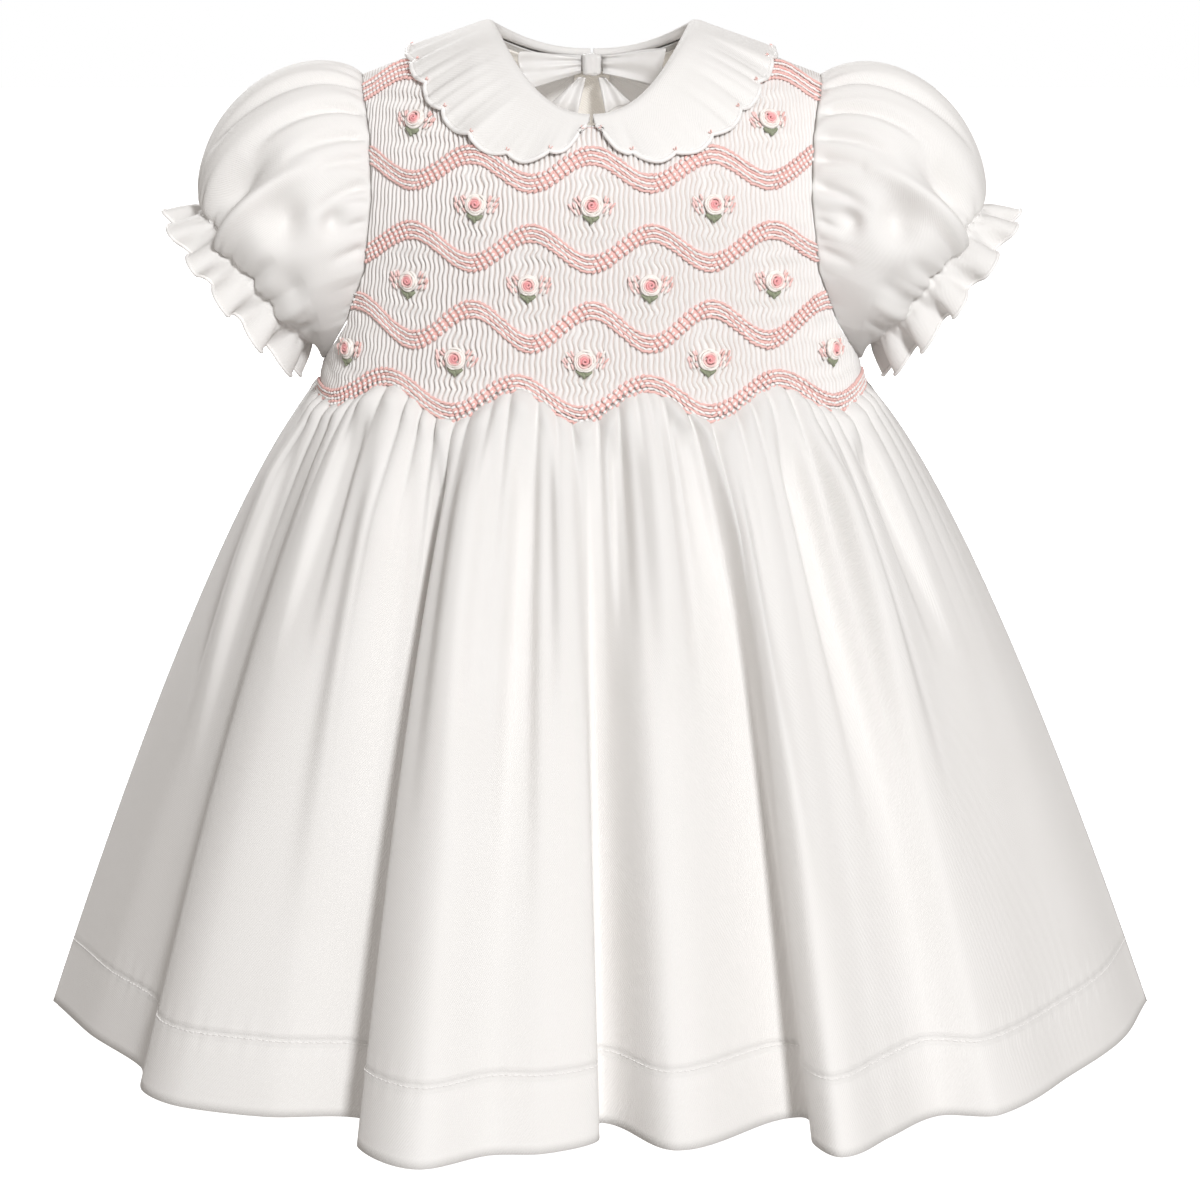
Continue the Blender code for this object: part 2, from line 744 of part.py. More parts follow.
def armhole_ring(side, count):
    """Edge of the armhole, from the shoulder tip down the front and up the back."""
    front_rows = [yoke_point(side, v, FRONT) for v in YOKE_ROWS]
    back_rows = [yoke_point(side, v, BACK) for v in YOKE_ROWS]
    ring = [point for point in front_rows if point[2] > ARMPIT_Z + 1.0]
    ring[0] = np.array((side * SHOULDER_TIP, 0.0, SHOULDER_TIP_Z))
    ring.append(np.array((side * level(ARMPIT_Z).edge, 0.0, ARMPIT_Z)))
    ring += [point for point in reversed(back_rows[1:]) if point[2] > ARMPIT_Z + 1.0]
    ring.append(ring[0].copy())
    return even_points(ring, count + 1)


def sleeve_grid(side):
    """Works out one sleeve: from the armhole round the puff to the cuff, and on to the ruffle."""
    axis = unit(np.array((side * CUFF_AXIS[0], CUFF_AXIS[1], CUFF_AXIS[2])))
    centre = np.array((side * CUFF_CENTRE[0], CUFF_CENTRE[1], CUFF_CENTRE[2]))
    up = unit(np.array((side * -CUFF_AXIS[2], 0.0, CUFF_AXIS[0])))
    ring = armhole_ring(side, SLEEVE_COLUMNS)
    middle = np.mean(ring[:-1], axis=0)
    grid = []
    for column in range(SLEEVE_COLUMNS + 1):
        share = column / SLEEVE_COLUMNS
        turn = 2 * math.pi * share
        start = ring[column] + np.array((side * EDGE_GAP, 0.0, 0.0))
        around = up * math.cos(turn) + np.array((0.0, -math.sin(turn), 0.0))
        end = centre + around * CUFF_RADIUS
        away = unit(ring[column] - middle)
        length = float(np.linalg.norm(end - start)) * SLEEVE_FULLNESS
        leave = unit(np.array((side * 0.9, 0.0, 0.0)) + away * (0.45 + HEAD_RISE * max(0.0, math.cos(turn))))
        arrive = unit(around - 0.5 * axis)
        line = []
        for row in range(SLEEVE_ROWS + 1):
            t = row / SLEEVE_ROWS
            point = ((1 - t) ** 3 * start + 3 * (1 - t) ** 2 * t * (start + leave * length)
                     + 3 * (1 - t) * t * t * (end + arrive * length) + t ** 3 * end)
            out = unit(point - (middle + (centre - middle) * t))
            fullness = min(1.0, length / 20.0)
            head = HEAD_GATHER * math.cos(HEAD_GATHERS * turn) * math.exp(-t / 0.3) * min(1.0, 4 * t)
            cuff = CUFF_GATHER * math.cos(CUFF_GATHERS * turn) * math.exp(-(1.0 - t) / 0.14)
            line.append(point + out * (head + cuff) * fullness)
        for row in range(1, RUFFLE_ROWS + 1):
            t = row / RUFFLE_ROWS
            wave = RUFFLE_WAVE * t * math.cos(RUFFLE_WAVES * turn)
            line.append(centre + axis * RUFFLE_LENGTH * t
                        + around * (CUFF_RADIUS + RUFFLE_FLARE * t + wave))
        grid.append(line)
    grid[-1] = grid[0]
    return grid


def make_sleeve(name, side, collection):
    """Makes one puff sleeve with its gathered cuff and ruffle."""
    grid = sleeve_grid(side)
    rows = SLEEVE_ROWS + RUFFLE_ROWS

    def place(s, v):
        return grid[round(s * SLEEVE_COLUMNS)][round(v * rows)]

    middle = (side * (CUFF_CENTRE[0] - 16.0), 0.0, CUFF_CENTRE[2] + 16.0)
    surface = grid_surface(place, SLEEVE_COLUMNS, rows, inside=middle, closed=True)
    return cloth(name, surface, SLEEVE_WALL, collection, COTTON)


def make_rose(name, x, z, collection):
    """Makes one raised rose that lies just off the pleats."""
    start = np.array((x, -bodice_depth(x, z, FRONT), z))
    point, normal = settle(start)
    builder = bmesh.new()
    bmesh.ops.create_cone(builder, cap_ends=True, segments=ROSE_SIDES, radius1=ROSE_RADIUS,
                          radius2=ROSE_TOP_RADIUS, depth=ROSE_HEIGHT)
    side_way = unit(np.cross((0.0, 0.0, 1.0), normal))
    up_way = np.cross(normal, side_way)
    clear = PLEAT_HEIGHT + EDGE_GAP + ROSE_HEIGHT / 2
    for vert in builder.verts:
        local = np.array(vert.co)
        vert.co = point + side_way * local[0] + up_way * local[1] + normal * (local[2] + clear)
    return new_object(name, builder, collection, ROSE_THREAD)


def make_bow(collection):
    """Makes the ribbon bow at the centre back of the neck."""
    builder = bmesh.new()
    bmesh.ops.create_cube(builder, size=1.0)
    bmesh.ops.scale(builder, vec=KNOT_SIZE, verts=builder.verts)
    bmesh.ops.bevel(builder, geom=builder.edges[:], offset=1.6, segments=2, profile=0.5, affect="EDGES")
    bmesh.ops.translate(builder, vec=(0.0, BOW_Y, BOW_Z), verts=builder.verts)
    new_object("bow_knot", builder, collection, SATIN)
    root = KNOT_SIZE[0] / 2 + EDGE_GAP
    for name, side, droop in (("bow_loop_right", -1, -2.5), ("bow_loop_left", 1, -1.0)):

        def loop(s, v, side=side, droop=droop):
            bulge = math.sin(math.pi * s) ** 0.8
            half = 3.0 + 5.0 * bulge
            x = side * (root + LOOP_REACH * bulge)
            y = (BOW_Y - BOW_CURVE * x * x - LOOP_DEPTH * math.cos(math.pi * s)
                 - LOOP_CROWN * math.sin(math.pi * v))
            return np.array((x, y, BOW_Z + droop * bulge + (0.5 - v) * 2.0 * half))

        surface = grid_surface(loop, 20, 4, inside=(side * (root + 12.0), BOW_Y - 3.0, BOW_Z))
        bmesh.ops.triangulate(surface, faces=surface.faces[:])
        cloth(name, surface, RIBBON_WALL, collection, SATIN)
    tails = (("bow_tail_right", -1, (-2.0, -16.6), (-16.0, -29.0)),
             ("bow_tail_left", 1, (2.0, -16.6), (14.0, -27.0)))
    for name, side, start, end in tails:

        def tail(s, v, side=side, start=start, end=end):
            x = start[0] + (end[0] - start[0]) * v
            z = start[1] + (end[1] - start[1]) * v
            half = 2.0 + 4.0 * v
            y = BOW_Y - 1.0 + 1.2 * math.sin(2.0 * math.pi * v)
            return np.array((x + side * (s - 0.5) * half * 1.4, y, z + (s - 0.5) * half * 1.4 * 0.8))

        surface = grid_surface(tail, 2, 5, inside=(0.0, BOW_Y + 20.0, BOW_Z))
        cloth(name, surface, RIBBON_WALL, collection, SATIN, offset=0.0)


def main():
    """Builds every piece of the dress."""
    clear_scene()
    dress = make_collection("smocked_christening_dress")
    make_smocked_front(dress)
    make_back_half("back_right", -1, dress)
    make_back_half("back_left", 1, dress)
    make_placket(dress)
    make_skirt("skirt_front", FRONT, FRONT_HEM, FRONT_GATHERS, FRONT_SOFT_FOLDS,
               FRONT_COLUMNS, dress)
    make_skirt("skirt_back", BACK, BACK_HEM, BACK_GATHERS, BACK_SOFT_FOLDS,
               BACK_COLUMNS, dress)
    make_sleeve("sleeve_right", -1, dress)
    make_sleeve("sleeve_left", 1, dress)
    make_collar("collar_right", -1, dress)
    make_collar("collar_left", 1, dress)
    make_binding(dress)
    make_bow(dress)
    for row in ROSE_ROWS:
        for number, x in enumerate(row.xs, start=1):
            make_rose(f"rose_{row.name}{number}", x, row.z, dress)


main()
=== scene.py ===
"""Smocked christening dress: the cloth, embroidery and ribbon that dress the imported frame.

Sizes are in millimetres and are turned to metres where a mesh is made.
+X runs to the dress's left arm, the front faces -Y and +Z is up.
"""

from __future__ import annotations

import logging
import math
from dataclasses import dataclass
from enum import Enum, IntEnum
from typing import NamedTuple, Sequence

import bmesh
import bpy
import numpy as np
from mathutils import Matrix, Vector

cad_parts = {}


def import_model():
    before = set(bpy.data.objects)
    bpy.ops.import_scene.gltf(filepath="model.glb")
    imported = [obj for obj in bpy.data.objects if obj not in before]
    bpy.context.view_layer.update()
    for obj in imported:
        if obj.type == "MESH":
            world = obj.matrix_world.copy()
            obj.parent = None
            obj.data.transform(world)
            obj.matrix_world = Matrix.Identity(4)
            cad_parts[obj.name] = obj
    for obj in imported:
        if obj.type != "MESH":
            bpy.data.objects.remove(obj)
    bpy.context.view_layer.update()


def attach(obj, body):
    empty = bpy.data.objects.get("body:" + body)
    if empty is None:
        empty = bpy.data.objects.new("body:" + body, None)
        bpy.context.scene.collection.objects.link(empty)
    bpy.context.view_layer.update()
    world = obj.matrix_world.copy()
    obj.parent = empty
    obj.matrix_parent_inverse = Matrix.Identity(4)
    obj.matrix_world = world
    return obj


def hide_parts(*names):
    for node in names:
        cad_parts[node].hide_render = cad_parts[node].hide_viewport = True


LOG = logging.getLogger("christening_dress")
MM = 0.001
SEED = 7
SEAM_GAP = 0.3
EDGE_GAP = 0.45
BODY = "root"
YOKE_MIDDLE = (0.0, 0.0, -70.0)
SKIRT_MIDDLE = (0.0, 0.0, -260.0)


class Facing(Enum):
    """Which half of the dress a surface belongs to."""

    FRONT = -1
    BACK = 1


class Held(Enum):
    GATHERED = "gathered"
    HUNG = "hung"
    FOLDED = "folded"


class BandThread(IntEnum):
    """The threads of the waved bands, by their material's number."""

    CORAL = 0
    WHITE = 1


class RoseThread(IntEnum):
    """The threads of a rose, by their material's number."""

    ROSE = 0
    BLUSH = 1
    CREAM = 2
    SAGE = 3
    CORAL = 4


def unit(vectors: np.ndarray) -> np.ndarray:
    """Returns the vectors, which lie along the last axis, scaled to length one."""
    return vectors / np.maximum(np.linalg.norm(vectors, axis=-1, keepdims=True), 1e-12)


def smooth(share: np.ndarray) -> np.ndarray:
    """Returns a share eased from 0 to 1, level at both ends."""
    held = np.clip(share, 0.0, 1.0)
    return held * held * (3.0 - 2.0 * held)


def bump(distance: np.ndarray, width: float) -> np.ndarray:
    """Returns a soft bump that is 1 at no distance and fades over the width."""
    return np.exp(-((distance / width) ** 2))


def lobes(count: np.ndarray, sharpness: float) -> np.ndarray:
    """Returns rounded lobes from 0 to 1, one to each whole count, with a pinch between them."""
    return np.abs(np.sin(np.pi * count)) ** sharpness


def ring_gap(share: np.ndarray, place: np.ndarray | float) -> np.ndarray:
    """Returns how far apart places round a ring are, as shares of the ring."""
    gap = np.abs(share - place)
    return np.minimum(gap, 1.0 - gap)


def even_points(points: np.ndarray, count: int) -> np.ndarray:
    """Spreads points evenly along a line of points.

    Args:
        points: the line, one point a row.
        count: how many points to return.

    Returns:
        The evenly spaced points.
    """
    steps = np.linalg.norm(np.diff(points, axis=0), axis=1)
    along = np.concatenate(([0.0], np.cumsum(steps)))
    wanted = np.linspace(0.0, along[-1], count)
    return np.column_stack([np.interp(wanted, along, points[:, axis]) for axis in range(3)])


def smooth_line(points: np.ndarray, parts: int = 16) -> np.ndarray:
    """Runs a rounded line through points, with no overshoot at its tight turns.

    Args:
        points: the points to pass through.
        parts: how many steps each stretch gets.

    Returns:
        The points of the line.
    """
    ends = np.vstack((2 * points[0] - points[1], points, 2 * points[-1] - points[-2]))
    line = []
    for before, start, end, after in zip(ends, ends[1:], ends[2:], ends[3:]):
        chord = float(np.linalg.norm(end - start))
        leave = start + unit(end - before) * chord * 0.30
        arrive = end - unit(after - start) * chord * 0.30
        for part in range(parts):
            t = part / parts
            line.append((1 - t) ** 3 * start + 3 * (1 - t) ** 2 * t * leave
                        + 3 * (1 - t) * t * t * arrive + t ** 3 * end)
    return np.array(line + [points[-1]])


def wander(places: np.ndarray, wave: float, seed: int) -> np.ndarray:
    """Returns a slow, fixed, random-looking wave of about -1 to 1.

    Args:
        places: where to read it.
        wave: length of its main wave, in the units of the places.
        seed: picks one of its many shapes.

    Returns:
        The wave's height at each place.
    """
    draw = np.random.default_rng(SEED + seed)
    total = np.zeros_like(places, dtype=float)
    for stretch, weight in ((1.0, 0.55), (0.53, 0.3), (0.29, 0.15)):
        total += weight * np.sin(2 * np.pi * places / (wave * stretch) + draw.uniform(0, 2 * np.pi))
    return total


# ---------------------------------------------------------------- finishes


class Shader:
    """Adds nodes to a new material and links them."""

    def __init__(self, name: str) -> None:
        """Starts a material with a Principled shader.

        Args:
            name: the material's name.
        """
        self.material = bpy.data.materials.new(name)
        self.material.use_nodes = True
        self.tree = self.material.node_tree
        self.surface = self.tree.nodes["Principled BSDF"]
        self.place = self.add("ShaderNodeTexCoord")

    def add(self, kind: str, sockets: dict | None = None, **settings: object) -> bpy.types.Node:
        """Adds one node.

        Args:
            kind: the node's type name.
            sockets: values for its input sockets, or sockets to link to them.
            **settings: the node's own properties.

        Returns:
            The node.
        """
        node = self.tree.nodes.new(kind)
        for key, value in settings.items():
            setattr(node, key, value)
        for key, value in (sockets or {}).items():
            if isinstance(value, bpy.types.NodeSocket):
                self.tree.links.new(value, node.inputs[key])
            else:
                node.inputs[key].default_value = value
        return node

    def math(self, operation: str, first: object, second: object = 0.0) -> bpy.types.NodeSocket:
        """Returns the result of one sum of two sockets or numbers."""
        return self.add("ShaderNodeMath", {0: first, 1: second}, operation=operation).outputs[0]

    def noise(self, scale: float, detail: float = 2.0) -> bpy.types.NodeSocket:
        """Returns a noise on object coordinates, at a scale per metre."""
        made = self.add("ShaderNodeTexNoise", {"Vector": self.place.outputs["Object"],
                                               "Scale": scale, "Detail": detail})
        return made.outputs["Fac"]

    def wave(self, coordinates: object, pitch: float, turned: float) -> bpy.types.NodeSocket:
        """Returns straight bands.

        Args:
            coordinates: the socket that gives the place in metres.
            pitch: distance from band to band, in metres.
            turned: the bands' turn in degrees.

        Returns:
            The bands' height, 0 to 1.
        """
        turn = self.add("ShaderNodeMapping", {"Vector": coordinates,
                                              "Rotation": (0.0, 0.0, math.radians(turned))})
        made = self.add("ShaderNodeTexWave", {"Vector": turn.outputs[0],
                                              "Scale": math.pi / 10.0 / pitch,
                                              "Distortion": 0.6, "Detail": 1.0})
        return made.outputs["Fac"]

    def colour(self, low: Sequence[float], high: Sequence[float], factor: object) -> None:
        """Gives the surface a colour between two.

        Args:
            low: the colour where the factor is 0.
            high: the colour where it is 1.
            factor: the socket that sets how much of each.
        """
        mix = self.add("ShaderNodeMix", {"Factor": factor, "A": (*low, 1.0), "B": (*high, 1.0)},
                       data_type="RGBA")
        self.tree.links.new(mix.outputs[2], self.surface.inputs["Base Color"])

    def relief(self, height: object, depth: float, strength: float = 1.0) -> None:
        """Presses a height into the surface, its full range being depth metres."""
        made = self.add("ShaderNodeBump",
                        {"Height": height, "Distance": depth, "Strength": strength})
        self.tree.links.new(made.outputs[0], self.surface.inputs["Normal"])


@dataclass(frozen=True)
class Cotton:
    """Fine twill cotton, whose threads follow the piece's own cloth grain."""

    name: str
    light: tuple = (0.88, 0.865, 0.85)
    dark: tuple = (0.845, 0.825, 0.80)
    # hollow: the colour of the painted shade in the pleats' valleys, mixed in by a vertex
    # attribute; None for no painted shade.
    hollow: tuple | None = None
    rib: float = 0.00085
    turned: float = 52.0
    depth: float = 0.0001
    roughness: float = 0.86
    sheen: float = 0.1

    def make(self) -> bpy.types.Material:
        """Builds the material: a ribbed weave, soft fuzz and faint shade changes, or, where a
        hollow colour is given, painted shade in the pleats' valleys.

        Returns:
            The material.
        """
        shader = Shader(self.name)
        cloth = shader.place.outputs["UV"]
        ribs = shader.wave(cloth, self.rib, self.turned)
        threads = shader.wave(cloth, self.rib * 0.52, self.turned - 84.0)
        fuzz = shader.noise(2600.0)
        weave = shader.math("ADD", ribs, shader.math("MULTIPLY", threads, 0.45))
        height = shader.math("ADD", weave, shader.math("MULTIPLY", fuzz, 0.5))
        shader.relief(height, self.depth, 0.8)
        # Painted shade: the valleys take the darker hollow colour, read from a vertex attribute, in
        # place of the shade that falls between pleats.
        if self.hollow:
            painted_shade = shader.add("ShaderNodeAttribute", attribute_name="painted_shade").outputs["Fac"]
            shader.colour(self.hollow, self.light,
                          shader.math("ADD", painted_shade, shader.math("MULTIPLY", fuzz, 0.12)))
        else:
            patch = shader.math("MULTIPLY", shader.noise(28.0, 4.0), 0.7)
            shader.colour(self.dark, self.light,
                          shader.math("ADD", patch, shader.math("MULTIPLY", weave, 0.28)))
        shader.surface.inputs["Roughness"].default_value = self.roughness
        shader.surface.inputs["Sheen Weight"].default_value = self.sheen
        shader.surface.inputs["Sheen Roughness"].default_value = 0.45
        return shader.material


@dataclass(frozen=True)
class Thread:
    """Stranded embroidery thread, with a fine twist and uneven dye."""

    name: str
    light: tuple
    dark: tuple
    roughness: float = 0.55
    sheen: float = 0.15

    def make(self) -> bpy.types.Material:
        """Builds the material: twisted strands over a mottled colour.

        Returns:
            The material.
        """
        shader = Shader(self.name)
        strands = shader.wave(shader.place.outputs["Object"], 0.00042, 38.0)
        mottle = shader.noise(900.0, 3.0)
        shader.relief(shader.math("ADD", strands, mottle), 0.00007, 0.7)
        shader.colour(self.dark, self.light,
                      shader.math("ADD", shader.math("MULTIPLY", mottle, 0.9),
                                  shader.math("MULTIPLY", strands, 0.25)))
        shader.surface.inputs["Roughness"].default_value = self.roughness
        shader.surface.inputs["Sheen Weight"].default_value = self.sheen
        return shader.material


@dataclass(frozen=True)
class Satin:
    """Glossy white ribbon with a faint lengthwise grain."""

    name: str
    light: tuple = (0.84, 0.83, 0.82)
    dark: tuple = (0.76, 0.74, 0.72)
    roughness: float = 0.24

    def make(self) -> bpy.types.Material:
        """Builds the material: fine lines, a soft gloss and a sheen.

        Returns:
            The material.
        """
        shader = Shader(self.name)
        grain = shader.wave(shader.place.outputs["UV"], 0.00035, 90.0)
        shader.relief(shader.math("ADD", grain, shader.noise(180.0, 3.0)), 0.00006, 0.5)
        shader.colour(self.dark, self.light, shader.noise(120.0, 3.0))
        shader.surface.inputs["Roughness"].default_value = self.roughness
        shader.surface.inputs["Sheen Weight"].default_value = 0.2
        shader.surface.inputs["Anisotropic"].default_value = 0.4
        return shader.material


class Finishes:
    """The materials of the dress, each made once."""

    def __init__(self) -> None:
        """Builds them all."""
        self.cotton = Cotton("white_twill_cotton").make()
        # pleated_cotton paints shade into the pleats' valleys, darker where the pleats stand high.
        self.pleated = Cotton("pleated_cotton", light=(0.885, 0.865, 0.85),
                              hollow=(0.60, 0.51, 0.46), depth=0.00005).make()
        # The inside's cream colour is painted warm shade, standing for the shaded white cloth
        # inside the dress, and is set lighter to brighten it.
        self.inside = Cotton("inside_cotton_painted_warm_shade", light=(0.96, 0.925, 0.86),
                             dark=(0.94, 0.89, 0.82)).make()
        self.satin = Satin("white_satin").make()
        self.white = Thread("white_thread", (0.95, 0.935, 0.92), (0.90, 0.88, 0.86)).make()
        self.coral = Thread("coral_thread", (0.91, 0.60, 0.56), (0.84, 0.47, 0.43)).make()
        self.rose = Thread("rose_thread", (0.92, 0.50, 0.50), (0.84, 0.31, 0.33)).make()
        self.blush = Thread("blush_thread", (0.96, 0.72, 0.69), (0.92, 0.58, 0.55)).make()
        self.cream = Thread("cream_thread", (0.97, 0.93, 0.89), (0.93, 0.87, 0.82)).make()
        self.sage = Thread("sage_thread", (0.36, 0.385, 0.27), (0.17, 0.20, 0.12)).make()


# ---------------------------------------------------------------- the dress's form


class Level(NamedTuple):
    """One height of the bodice: its half width, its depths and where its side edge lies."""

    z: float
    half_width: float
    front: float
    back: float
    edge: float


@dataclass(frozen=True)
class Bodice:
    """The surface that the yoke, collar and strips follow, as the frame has it."""

    neck_half: float = 43.0
    shoulder_tip: float = 88.0
    neck_side_z: float = 4.0
    shoulder_tip_z: float = -13.0
    middle_top_z: float = 8.0
    front_drop: float = 33.0
    back_drop: float = 13.0
    armpit_z: float = -123.0
    round_from_z: float = -75.0
    roundness: float = 2.3
    bottom_z: float = -130.0
    wave_height: float = 5.8
    wave_length: float = 48.7
    wave_crest_x: float = 20.7
    wave_ends_x: float = 109.0
    wave_fade: float = 15.0
    neck_curve: float = 2.2
    levels: tuple = (
        Level(20.0, 93.0, 60.0, 52.0, 88.0),
        Level(-13.0, 93.0, 62.0, 54.0, 88.0),
        Level(-35.0, 94.5, 63.5, 55.5, 84.0),
        Level(-58.0, 96.0, 65.0, 57.0, 83.0),
        Level(-85.0, 98.5, 66.0, 59.0, 86.0),
        Level(-106.0, 101.0, 67.0, 60.0, 94.0),
        Level(-123.0, 104.0, 68.0, 61.0, 104.0),
        Level(-137.0, 108.0, 70.0, 62.0, 108.0),
    )

    def at(self, z: np.ndarray) -> Level:
        """Reads the table of levels.

        Args:
            z: the heights to read it at.

        Returns:
            The level's sizes at each height.
        """
        heights = [-row.z for row in self.levels]
        return Level(z, *(np.interp(-z, heights, [row[field] for row in self.levels])
                          for field in range(1, 5)))

    def shoulder_z(self, x: np.ndarray) -> np.ndarray:
        """Returns the height of the shoulder line at places across the dress."""
        return np.interp(np.abs(x), (0.0, self.neck_half, self.shoulder_tip, 2 * self.shoulder_tip),
                         (self.middle_top_z, self.neck_side_z, self.shoulder_tip_z,
                          2 * self.shoulder_tip_z))

    def neckline_z(self, x: np.ndarray, facing: Facing) -> np.ndarray:
        """Returns the height of the neck edge on the front or the back."""
        drop = self.front_drop if facing is Facing.FRONT else self.back_drop
        return self.neck_side_z - drop * (1.0 - (np.abs(x) / self.neck_half) ** self.neck_curve)

    def top_z(self, x: np.ndarray, facing: Facing) -> np.ndarray:
        """Returns the height of the top edge: the neck edge, or the shoulder seam beyond it."""
        held = np.minimum(np.abs(x), self.shoulder_tip)
        return np.where(held < self.neck_half, self.neckline_z(held, facing), self.shoulder_z(held))

    def wave_z(self, x: np.ndarray, facing: Facing) -> np.ndarray:
        """Works out the yoke's lower edge: waved in front, level behind.

        Args:
            x: places across the dress.
            facing: the front or the back.

        Returns:
            The edge's height at each place.
        """
        if facing is Facing.BACK:
            return np.full_like(x, self.bottom_z)
        calm = np.clip((self.wave_ends_x - np.abs(x)) / self.wave_fade, 0.0, 1.0)
        turn = 2 * np.pi * (x - self.wave_crest_x) / self.wave_length
        return self.bottom_z + self.wave_height * calm * np.cos(turn)

    def rounding(self, x: np.ndarray, z: np.ndarray, half_width: np.ndarray,
                 widest: float) -> tuple[np.ndarray, np.ndarray]:
        """Works out how the bodice rounds off at its sides and over its shoulders.

        Args:
            x: places across the dress.
            z: their heights.
            half_width: the bodice's half width at each height.
            widest: the largest share of the half width that is read.

        Returns:
            The share of the full depth that the side leaves, and how far up the shoulder's
            curve each place is, 0 to 1.
        """
        across = np.minimum(np.abs(x) / half_width, widest)
        side = (1.0 - across ** self.roundness) ** (1.0 / self.roundness)
        start = self.round_from_z
        return side, np.maximum(0.0, (z - start) / (self.shoulder_z(x) - start))

    def depth(self, x: np.ndarray, z: np.ndarray, facing: Facing) -> np.ndarray:
        """Works out how far the bodice stands out from the middle plane.

        Args:
            x: places across the dress.
            z: their heights.
            facing: the front or the back.

        Returns:
            The depth at each place.
        """
        size = self.at(z)
        full = size.front if facing is Facing.FRONT else size.back
        side, rise = self.rounding(x, z, size.half_width, 1.0)
        return full * side * np.sqrt(np.maximum(0.0, 1.0 - rise * rise))

    def surface(self, x: np.ndarray, z: np.ndarray, facing: Facing) -> np.ndarray:
        """Returns the points of the bodice at places across and heights."""
        y = np.maximum(self.depth(x, z, facing), SEAM_GAP / 2) * facing.value
        return np.stack((x, y, z), axis=-1)

    def field(self, points: np.ndarray) -> np.ndarray:
        """Works out a field that is 0 on the bodice's surface.

        Args:
            points: where to read it.

        Returns:
            The field at each point: less than 0 inside the bodice and more outside.
        """
        x, y, z = points[..., 0], points[..., 1], points[..., 2]
        size = self.at(z)
        full = np.where(y < 0.0, size.front, size.back)
        side, rise = self.rounding(x, z, size.half_width, 0.999)
        return (y / (full * side)) ** 2 + rise * rise - 1.0

    def slope(self, points: np.ndarray, step: float = 0.05) -> np.ndarray:
        """Works out the slope of the field.

        Args:
            points: where to read it.
            step: how far to each side the field is compared.

        Returns:
            The slope at each point.
        """
        parts = [(self.field(points + shift) - self.field(points - shift)) / (2 * step)
                 for shift in np.eye(3) * step]
        return np.stack(parts, axis=-1)

    def outward(self, points: np.ndarray) -> np.ndarray:
        """Returns the surface's outward direction at points on it."""
        return unit(self.slope(points))

    def settle(self, points: np.ndarray) -> np.ndarray:
        """Moves points on to the surface.

        Args:
            points: points near it.

        Returns:
            The moved points.
        """
        for _ in range(4):
            slope = self.slope(points)
            size = np.maximum((slope * slope).sum(-1), 1e-12)
            points = points - slope * (self.field(points) / size)[..., None]
        return points

    def walk(self, start: np.ndarray, heading: np.ndarray, reach: np.ndarray,
             steps: int) -> tuple[np.ndarray, np.ndarray]:
        """Follows the surface from some starts.

        Args:
            start: one point a row.
            heading: the direction to leave each in.
            reach: how far each goes.
            steps: how many equal steps each takes.

        Returns:
            The points and the outward directions after every step, the start among them.
        """
        point = self.settle(start)
        points, normals = [point], [self.outward(point)]
        for _ in range(steps):
            heading = unit(heading - normals[-1] * (heading * normals[-1]).sum(-1, keepdims=True))
            point = self.settle(points[-1] + heading * (reach / steps)[:, None])
            points.append(point)
            normals.append(self.outward(point))
        return np.array(points), np.array(normals)

    def neck_line(self, side: int, start_gap: float, count: int) -> np.ndarray:
        """Works out the neck edge of one side.

        Args:
            side: -1 for the right half, 1 for the left.
            start_gap: how far from the middle it starts and ends.
            count: how many points it has.

        Returns:
            Its points, from the centre front round to the centre back.
        """
        going = np.linspace(start_gap, self.neck_half, 120)
        parts = []
        for x, facing in ((going, Facing.FRONT), (going[::-1][1:], Facing.BACK)):
            z = self.neckline_z(x, facing)
            parts.append(np.stack((side * x, facing.value * self.depth(x, z, facing), z), axis=-1))
        return even_points(np.vstack(parts), count)

    def neck_frame(self, line: np.ndarray) -> tuple[np.ndarray, np.ndarray, np.ndarray]:
        """Works out how the surface lies along the neck edge.

        Args:
            line: the neck edge's points.

        Returns:
            The points settled on the surface, their outward and their downward directions.
        """
        along = unit(np.gradient(line, axis=0))
        point = self.settle(line)
        normal = self.outward(point)
        down = unit(np.cross(along, normal))
        away = point - np.array((0.0, -8.0, 20.0))
        return point, normal, down * np.sign((down * away).sum(-1, keepdims=True))


# ---------------------------------------------------------------- meshes


def lay_grid(builder: bmesh.types.BMesh, points: np.ndarray, material: int = 0,
             painted_shade: np.ndarray | None = None) -> None:
    """Adds a grid whose points are given, in millimetres.

    Args:
        builder: the mesh to add to; it has a UV layer.
        points: the points, by row and column.
        material: the faces' material number.
        painted_shade: painted shade at each point, 0 for the darkest to 1 for none, kept as a
            vertex attribute.
    """
    rows, columns = points.shape[0] - 1, points.shape[1] - 1
    made = bmesh.ops.create_grid(builder, x_segments=columns, y_segments=rows, size=1.0,
                                 calc_uvs=True)["verts"]
    places = (points * MM).tolist()
    shade = builder.verts.layers.float.get("painted_shade") if painted_shade is not None else None
    for vert in made:
        row = round((vert.co.y + 1.0) * rows / 2)
        column = round((vert.co.x + 1.0) * columns / 2)
        vert.co = places[row][column]
        if shade:
            vert[shade] = painted_shade[row, column]
    if material:
        for vert in made:
            for face in vert.link_faces:
                face.material_index = material


def start_mesh() -> bmesh.types.BMesh:
    """Starts a mesh for cloth.

    Returns:
        An empty mesh with a UV layer and a float attribute for painted shade.
    """
    builder = bmesh.new()
    builder.loops.layers.uv.new("UVMap")
    builder.verts.layers.float.new("painted_shade")
    return builder


